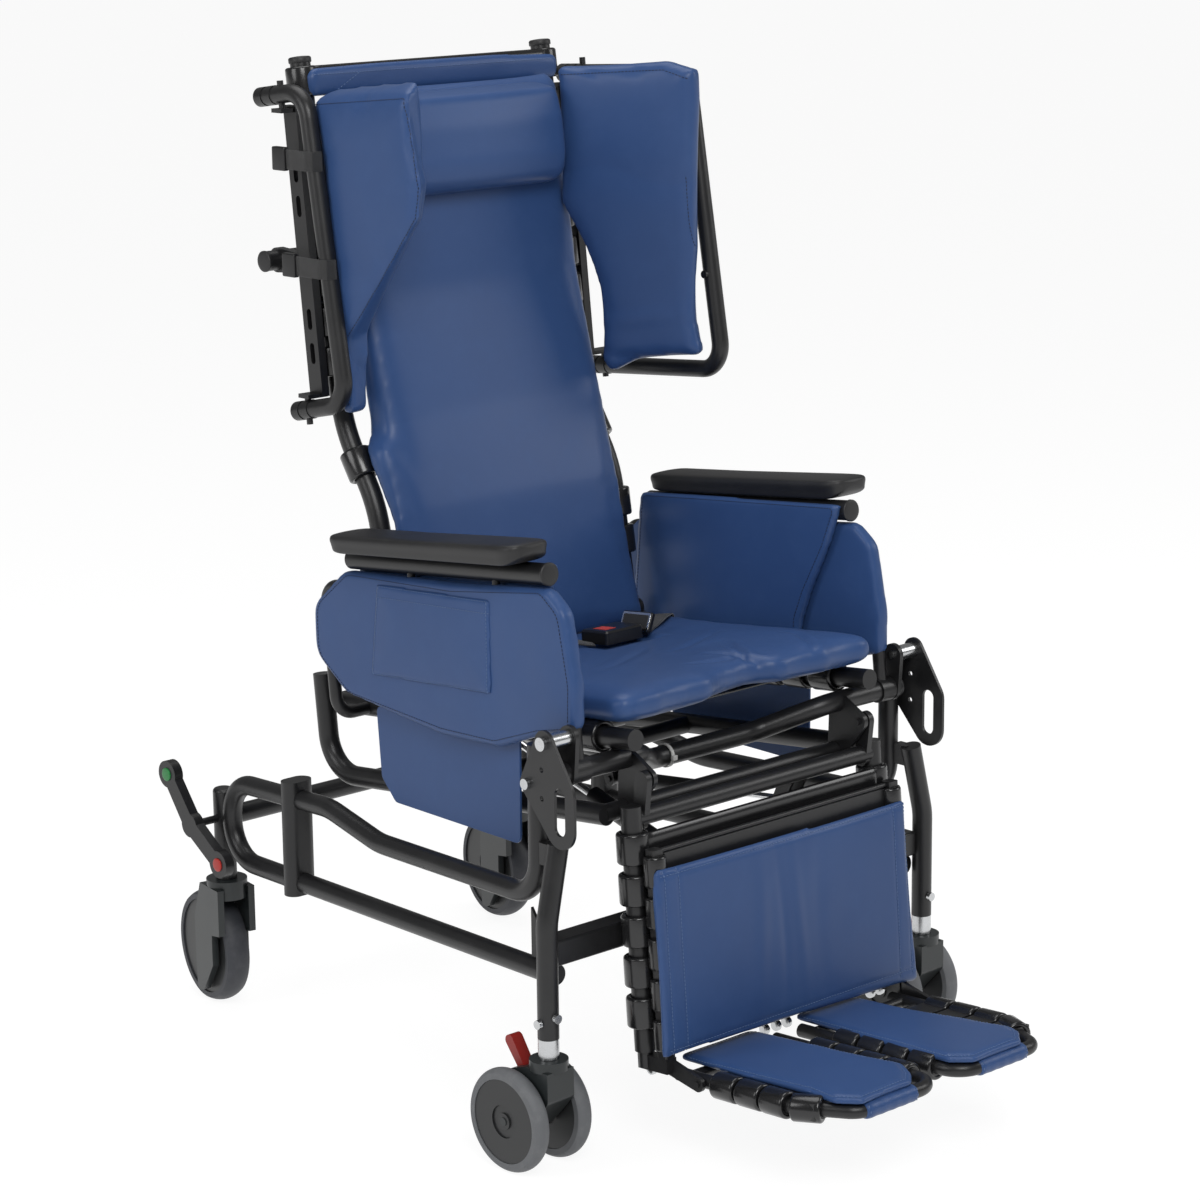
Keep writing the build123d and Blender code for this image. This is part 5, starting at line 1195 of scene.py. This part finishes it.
for side, name in ((-1, "right"), (1, "left")):
    spots = []
    for fore in footStrap["fores"]:
        spots.append((footAt(side * footStrap["inner"], fore, -0.0115), footWay))
        past = max(0.0, fore - footStrap["bend"])
        share = past / footStrap["slant"][1]
        turn = side * footStrap["slant"][0] / footStrap["slant"][1] if past else 0
        way = (footWay + Vector((turn, 0, 0))).normalized()
        spots.append((footAt(side * (footStrap["outer"] + footStrap["slant"][0] * share), fore, -0.0115), way))
    beadRow(f"foot_beads_{name}", spots, f"foot_{name}", *footStrap["radius"], footStrap["width"])
beadRow("carriage_beads", [(legAt(s * 0.2, down, -0.024), legAlong) for s in (-1, 1)
                           for down in (0.102, 0.151, 0.2, 0.249, 0.298)], "carriage", 0.0092, 0.0138, 0.0372)
print("vinyl straps")

# ---- cover folded over the highest strap, with a slanted seam at its near end
topCover = {"outline": [(-0.203, 1.204, 0.01), (0.203, 1.203, 0.01), (0.2045, 1.234, 0.012), (0.1, 1.2385, 0.1),
                        (-0.1, 1.2395, 0.1), (-0.204, 1.238, 0.012)], "low": 0.5405, "high": 0.5555, "rim": 0.005,
            "voxel": 0.0045}
topPlace = placeBy(lambda u, v, w: floorAt(u, w, v))
topOutline = roundedCorners(topCover["outline"], 0.01, 4)
topPiece = slab("top_cover", topOutline, topCover["low"], topCover["high"], topCover["rim"], "vinyl_blue",
                topCover["voxel"])
crowned(topPiece, topOutline, (topCover["low"] + topCover["high"]) / 2, 0.001, 0.02, 0.0, 0.0009, 8.3)
relaxed(topPiece, 1)
finer(topPiece)
settle(topPiece, topPlace)
upholstered(topPiece, "back", 0.3)
topSeams = [onSkin(topPiece, [topPlace @ Vector(p) for p in pathOver(run, 0.003)], Vector((0, 1, 0))) for run in
            ([(-0.196, 1.231, 0.55), (0.196, 1.229, 0.55)], [(-0.17, 1.207, 0.55), (-0.13, 1.229, 0.55)])]
stitched("top_cover_stitches", topSeams, "back", "thread_blue")
print("top cover")

# ---- arm pads: moulded, thinner to the rear, rounded at the front, with a lip under the rim
armPad = {"front": 0.041, "long": 0.349, "half": 0.033, "foot": 0.196, "thick": 0.0276, "spread": 0.268}
for side, name in ((-1, "near"), (1, "far")):
    rings = []
    steps = 44
    for k in range(steps + 1):
        t = k / steps
        along = armPad["front"] + armPad["long"] * t
        nose = min(1.0, t / 0.075)
        tail = min(1.0, (1 - t) / 0.06)
        round_ = math.sqrt(max(0.0, 1 - (1 - min(nose, tail)) ** 2))
        wide = armPad["half"] * (0.6 + 0.4 * round_)
        lift = 0.011 * (1 - nose) ** 1.6 + 0.004 * (1 - tail)
        fall = 0.0035 * min(1.0, max(0.0, (t - 0.12) / 0.5)) * 0.6
        high = armPad["foot"] + armPad["thick"] * (0.9 + 0.1 * round_) - fall
        low = armPad["foot"] + 0.0005 + lift
        ring = []
        for a, b in ((-0.8, 0.0), (0.8, 0.0), (0.9, 0.06), (0.93, 0.4), (1.0, 0.62), (1.0, 0.8), (0.94, 0.93),
                     (0.82, 1.0), (0.4, 1.035), (0.0, 1.045), (-0.4, 1.035), (-0.82, 1.0), (-0.94, 0.93), (-1.0, 0.8),
                     (-1.0, 0.62), (-0.93, 0.4), (-0.9, 0.06)):
            ring.append(seatAt(side * armPad["spread"] + a * wide, along, low + (high - low) * b * 0.96))
        rings.append(ring)
    padPiece = loftPiece(f"{name}_arm_pad", rings, "pad_black", 0)
    smooth = padPiece.modifiers.new("smooth", "SUBSURF")
    smooth.levels = 2
    smooth.render_levels = 2
    applied(padPiece)
    shadedSmooth(padPiece.data)
    dressed(padPiece, "seat")
    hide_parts("arm_pads")
print("arm pads")

# ---- end caps on the open tubes
seatWay = Vector((0, -math.cos(tilt), math.sin(tilt)))
capPiece("arm_caps", [(seatAt(s * 0.252, 0.038, 0.183), seatWay) for s in (-1, 1)], "seat", radius=0.0134, long=0.0045)
railWay = Vector((0, 0.1445 - 0.078, 0.775 - 0.327)).normalized()
capPiece("back_caps", [(backAt(s * 0.197, 0.1445, 0.775) - railWay * 0.004, railWay) for s in (-1, 1)], "back",
         radius=0.0138, long=0.0075)
capPiece("push_caps", [(backAt(s * 0.245, 0.163, 0.530), (s, 0, 0)) for s in (-1, 1)], "back", radius=0.0128,
         long=0.004)
print("end caps")

# ---- webbing straps that tie the wings to the flat bars, with their buckles
wingTie = {"width": 0.024, "thick": 0.0018, "levels": (0.66, 0.531), "buckle": (0.0125, 0.0145, 0.0075)}


def tubeRear(up):
    # where the near wing tube stands behind the recline pivot at a height
    return 0.017 + (0.080 - 0.017) * (up - 0.368) / (0.743 - 0.368)


for index, up in enumerate(wingTie["levels"]):
    rearTube = tubeRear(up)
    rearBar = 0.091 + (up - 0.368) / (0.722 - 0.368) * (0.128 - 0.091)
    loop = [(rearTube - 0.013, -0.2385), (rearTube - 0.009, -0.2497), (rearTube + 0.003, -0.2532),
            (rearBar - 0.03, -0.2528), (rearBar - 0.014, -0.2505), (rearBar - 0.008, -0.248)]
    path = [backAt(x, r, up) for r, x in loop]
    smoothPath = []
    for a, b in zip(path, path[1:]):
        smoothPath += [a.lerp(b, k / 3) for k in range(3)]
    smoothPath.append(path[-1])
    ribbon(f"wing_tie_{index}", smoothPath, Vector((0, 0.1, 1)), wingTie["width"], wingTie["thick"], "webbing_black",
           "back")
    clasp = wingTie["buckle"]
    smallPlate(f"tie_buckle_{index}", (-clasp[0], -clasp[1], clasp[0], clasp[1]), 0.0025, (0, clasp[2]), 0.0015,
               "buckle_black", placeBy(lambda u, v, w: backAt(-0.247 - w, rearBar - 0.002 + u, up + v)), "back")
print("wing ties")

# ---- lap belt: webbing from the buckle to both sides, slack where it leaves the buckle
belt = {"width": 0.044, "thick": 0.0019, "middle": (0.03, 0.25), "half": 0.033, "anchor": (0.204, 0.352)}
for side, name in ((-1, "near"), (1, "far")):
    start = (belt["middle"][0] + side * belt["half"], belt["middle"][1])
    finish = (side * belt["anchor"][0], belt["anchor"][1])
    points = []
    for k in range(31):
        t = k / 30
        bend = 0.008 * math.sin(math.pi * t) * side
        points.append(seatAt(start[0] + (finish[0] - start[0]) * t, start[1] + (finish[1] - start[1]) * t - bend, 0.05))
    path = onSkin(seatPiece, points, -seatUp, 0.0015)
    for k, place in enumerate(path):
        t = k / (len(path) - 1)
        path[k] = place + seatUp * (0.006 * math.exp(-((t - 0.03) / 0.1) ** 2) + 0.0035 * math.sin(math.pi * t) ** 2)
    run = (path[-1] - path[0]).normalized()
    band = ribbon(f"belt_{name}", path, seatUp.cross(run), belt["width"], belt["thick"], "webbing_black", "seat")
    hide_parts("lap_belt")

# ---- buckle's slider and tongue, standing up at its far side
sliderPlace = placeBy(lambda u, v, w: seatAt(0.066 + v * 0.42 + w * 0.91, 0.25 + u, 0.0475 + v * 0.91 - w * 0.42))
for name, box, corner, span, rim, finish in (
        ("belt_slider", (-0.027, 0, 0.027, 0.027), 0.004, (0, 0.006), 0.0016, "buckle_black"),
        ("slider_edge", (-0.0255, 0.0015, 0.0255, 0.0255), 0.003, (-0.0008, 0.0001), 0.0003, "rod_chrome"),
        ("slider_window", (-0.0225, 0.0045, 0.0225, 0.0225), 0.002, (-0.0016, -0.0007), 0.0003, "webbing_black")):
    smallPlate(name, box, corner, span, rim, finish, sliderPlace, "seat")
smallPlate("belt_tongue", (-0.014, -0.012, 0.014, 0.008), 0.002, (0.0001, 0.0021), 0.0003, "rod_chrome",
           placeBy(lambda u, v, w: seatAt(0.062 + v, 0.25 + u, 0.0465 + w)), "seat")
print("lap belt")

# ---- small things on the mechanism: a cable tie, caps on the bowed tube, and the marks on the lock pedals
tie = {"radius": 0.0133, "wide": 0.0045, "thick": 0.0014}
tieAt = seatAt(-0.06, 0.0724, -0.07)
tiePoints, tieFaces = [], []
for k in range(32):
    angle = 2 * math.pi * k / 32
    for far, a in ((0, -1), (1, -1), (1, 1), (0, 1)):
        size = tie["radius"] + far * tie["thick"]
        tiePoints.append(tieAt + Vector((a * tie["wide"] / 2, size * math.cos(angle), size * math.sin(angle))))
for k in range(32):
    for r in range(4):
        a, b = 4 * k + r, 4 * k + (r + 1) % 4
        tieFaces.append((a, b, (b + 4) % 128, (a + 4) % 128))
tiePiece = meshPiece("cable_tie", tiePoints, tieFaces, "nylon_white", smooth=False)
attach(tiePiece, "seat")
smallPlate("cable_tie_head", (-0.0035, -0.003, 0.0035, 0.003), 0.001, (0, 0.005), 0.0006, "nylon_white",
           placeBy(lambda u, v, w: tieAt + Vector((u, -tie["radius"] - w, v))), "seat")
ankleBolt = {"fore": -0.028, "rise": -0.008, "spots": (-0.196, -0.184, -0.008, 0.012, 0.03, 0.179, 0.196),
             "radius": 0.0068, "long": 0.006}
capPiece("ankle_bolts", [(footAt(x, ankleBolt["fore"], ankleBolt["rise"]), (-1, 0, 0)) for x in ankleBolt["spots"]],
         "carriage", "zinc", ankleBolt["radius"], ankleBolt["long"], 0.3)
capPiece("bow_caps", [(seatAt(s * 0.2822, 0.0092, -0.0425), (s, 0, 0)) for s in (-1, 1)], "seat", radius=0.0126,
         long=0.0035)
for name, finish, (rear, up) in (("release_marks", "mark_green", (0.757, 0.322)),
                                 ("lock_marks", "mark_red", (0.652, 0.222))):
    capPiece(name, [(floorAt(s * 0.3068, rear, up), (s, 0, 0)) for s in (-1, 1)], "lock", finish, 0.0085, 0.0022, 0.6)
print("small things")

# ---- floor, light and camera
ground = {"albedo": 0.9, "white": 0.8, "glow": 1.14}
floorData = bpy.data.meshes.new("floor")
floorData.from_pydata([(-30, -30, 0), (30, -30, 0), (30, 30, 0), (-30, 30, 0)], [], [(0, 1, 2, 3)])
floorPiece = bpy.data.objects.new("floor", floorData)
scene.collection.objects.link(floorPiece)
floorFinish = bpy.data.materials.new("pale_floor")
floorFinish.use_nodes = True
make, link = floorFinish.node_tree.nodes.new, floorFinish.node_tree.links.new
floorFinish.node_tree.nodes.remove(floorFinish.node_tree.nodes["Principled BSDF"])
matte = make("ShaderNodeBsdfDiffuse")
matte.inputs["Color"].default_value = (ground["albedo"],) * 3 + (1,)
glow = make("ShaderNodeEmission")
glow.inputs["Color"].default_value = (1, 1, 1, 1)
glow.inputs["Strength"].default_value = ground["glow"]
rays = make("ShaderNodeLightPath")
seen = maths(floorFinish.node_tree, "MAXIMUM", rays.outputs["Is Camera Ray"], rays.outputs["Is Glossy Ray"])
mixFloor = make("ShaderNodeMixShader")
link(maths(floorFinish.node_tree, "MULTIPLY", seen, ground["white"]), mixFloor.inputs["Fac"])
link(matte.outputs["BSDF"], mixFloor.inputs[1])
link(glow.outputs["Emission"], mixFloor.inputs[2])
link(mixFloor.outputs["Shader"], floorFinish.node_tree.nodes["Material Output"].inputs["Surface"])
floorData.materials.append(floorFinish)

world = scene.world or bpy.data.worlds.new("studio")
scene.world = world
world.use_nodes = True
make, link = world.node_tree.nodes.new, world.node_tree.links.new
sky = world.node_tree.nodes["Background"]
sky.inputs["Color"].default_value = (1, 1, 1, 1)
rays = make("ShaderNodeLightPath")
seen = maths(world.node_tree, "MAXIMUM", rays.outputs["Is Camera Ray"], rays.outputs["Is Transmission Ray"])
level = make("ShaderNodeMapRange")
level.inputs["To Min"].default_value = 0.2
level.inputs["To Max"].default_value = 1.0
link(seen, level.inputs["Value"])
link(level.outputs["Result"], sky.inputs["Strength"])

lamps = [
    {"name": "key", "at": (-1.9, -2.9, 3.3), "aim": (0, 0, 0.6), "size": 1.8, "watts": 82},
    {"name": "side", "at": (-3.4, 0.6, 2.2), "aim": (0, 0, 0.7), "size": 1.6, "watts": 30},
    {"name": "right", "at": (3.0, -2.2, 2.4), "aim": (0, 0, 0.6), "size": 1.6, "watts": 30},
    {"name": "top", "at": (0.2, 0.6, 3.8), "aim": (0, 0, 0.4), "size": 2.4, "watts": 44},
]
for lamp in lamps:
    light = bpy.data.lights.new(lamp["name"], "AREA")
    light.size = lamp["size"]
    light.energy = lamp["watts"]
    holder = bpy.data.objects.new(lamp["name"], light)
    holder.location = lamp["at"]
    holder.rotation_euler = (Vector(lamp["aim"]) - Vector(lamp["at"])).to_track_quat("-Z", "Y").to_euler()
    scene.collection.objects.link(holder)

view = {"yaw": 42.6033, "pitch": -13.1402, "roll": -0.6595, "focal": 3396.73, "pixels": 1200,
        "at": (-2.77764, -2.76868 + chair["frontY"], 1.54524)}
yaw, pitch, roll = (math.radians(view[k]) for k in ("yaw", "pitch", "roll"))
forward = Vector((math.sin(yaw) * math.cos(pitch), math.cos(yaw) * math.cos(pitch), math.sin(pitch)))
right = Vector((math.cos(yaw), -math.sin(yaw), 0))
up = right.cross(forward)
turnedRight = right * math.cos(roll) + up * math.sin(roll)
turnedUp = up * math.cos(roll) - right * math.sin(roll)
eye = bpy.data.cameras.new("photo_view")
eye.sensor_width = 36.0
eye.sensor_fit = "HORIZONTAL"
eye.lens = view["focal"] / view["pixels"] * 36.0
camera = bpy.data.objects.new("photo_view", eye)
camera.matrix_world = Matrix([[turnedRight[r], turnedUp[r], -forward[r], view["at"][r]]
                              for r in range(3)] + [[0, 0, 0, 1]])
scene.collection.objects.link(camera)
scene.camera = camera
scene.view_settings.view_transform = "Standard"
print("floor, light and camera")

bpy.context.view_layer.update()
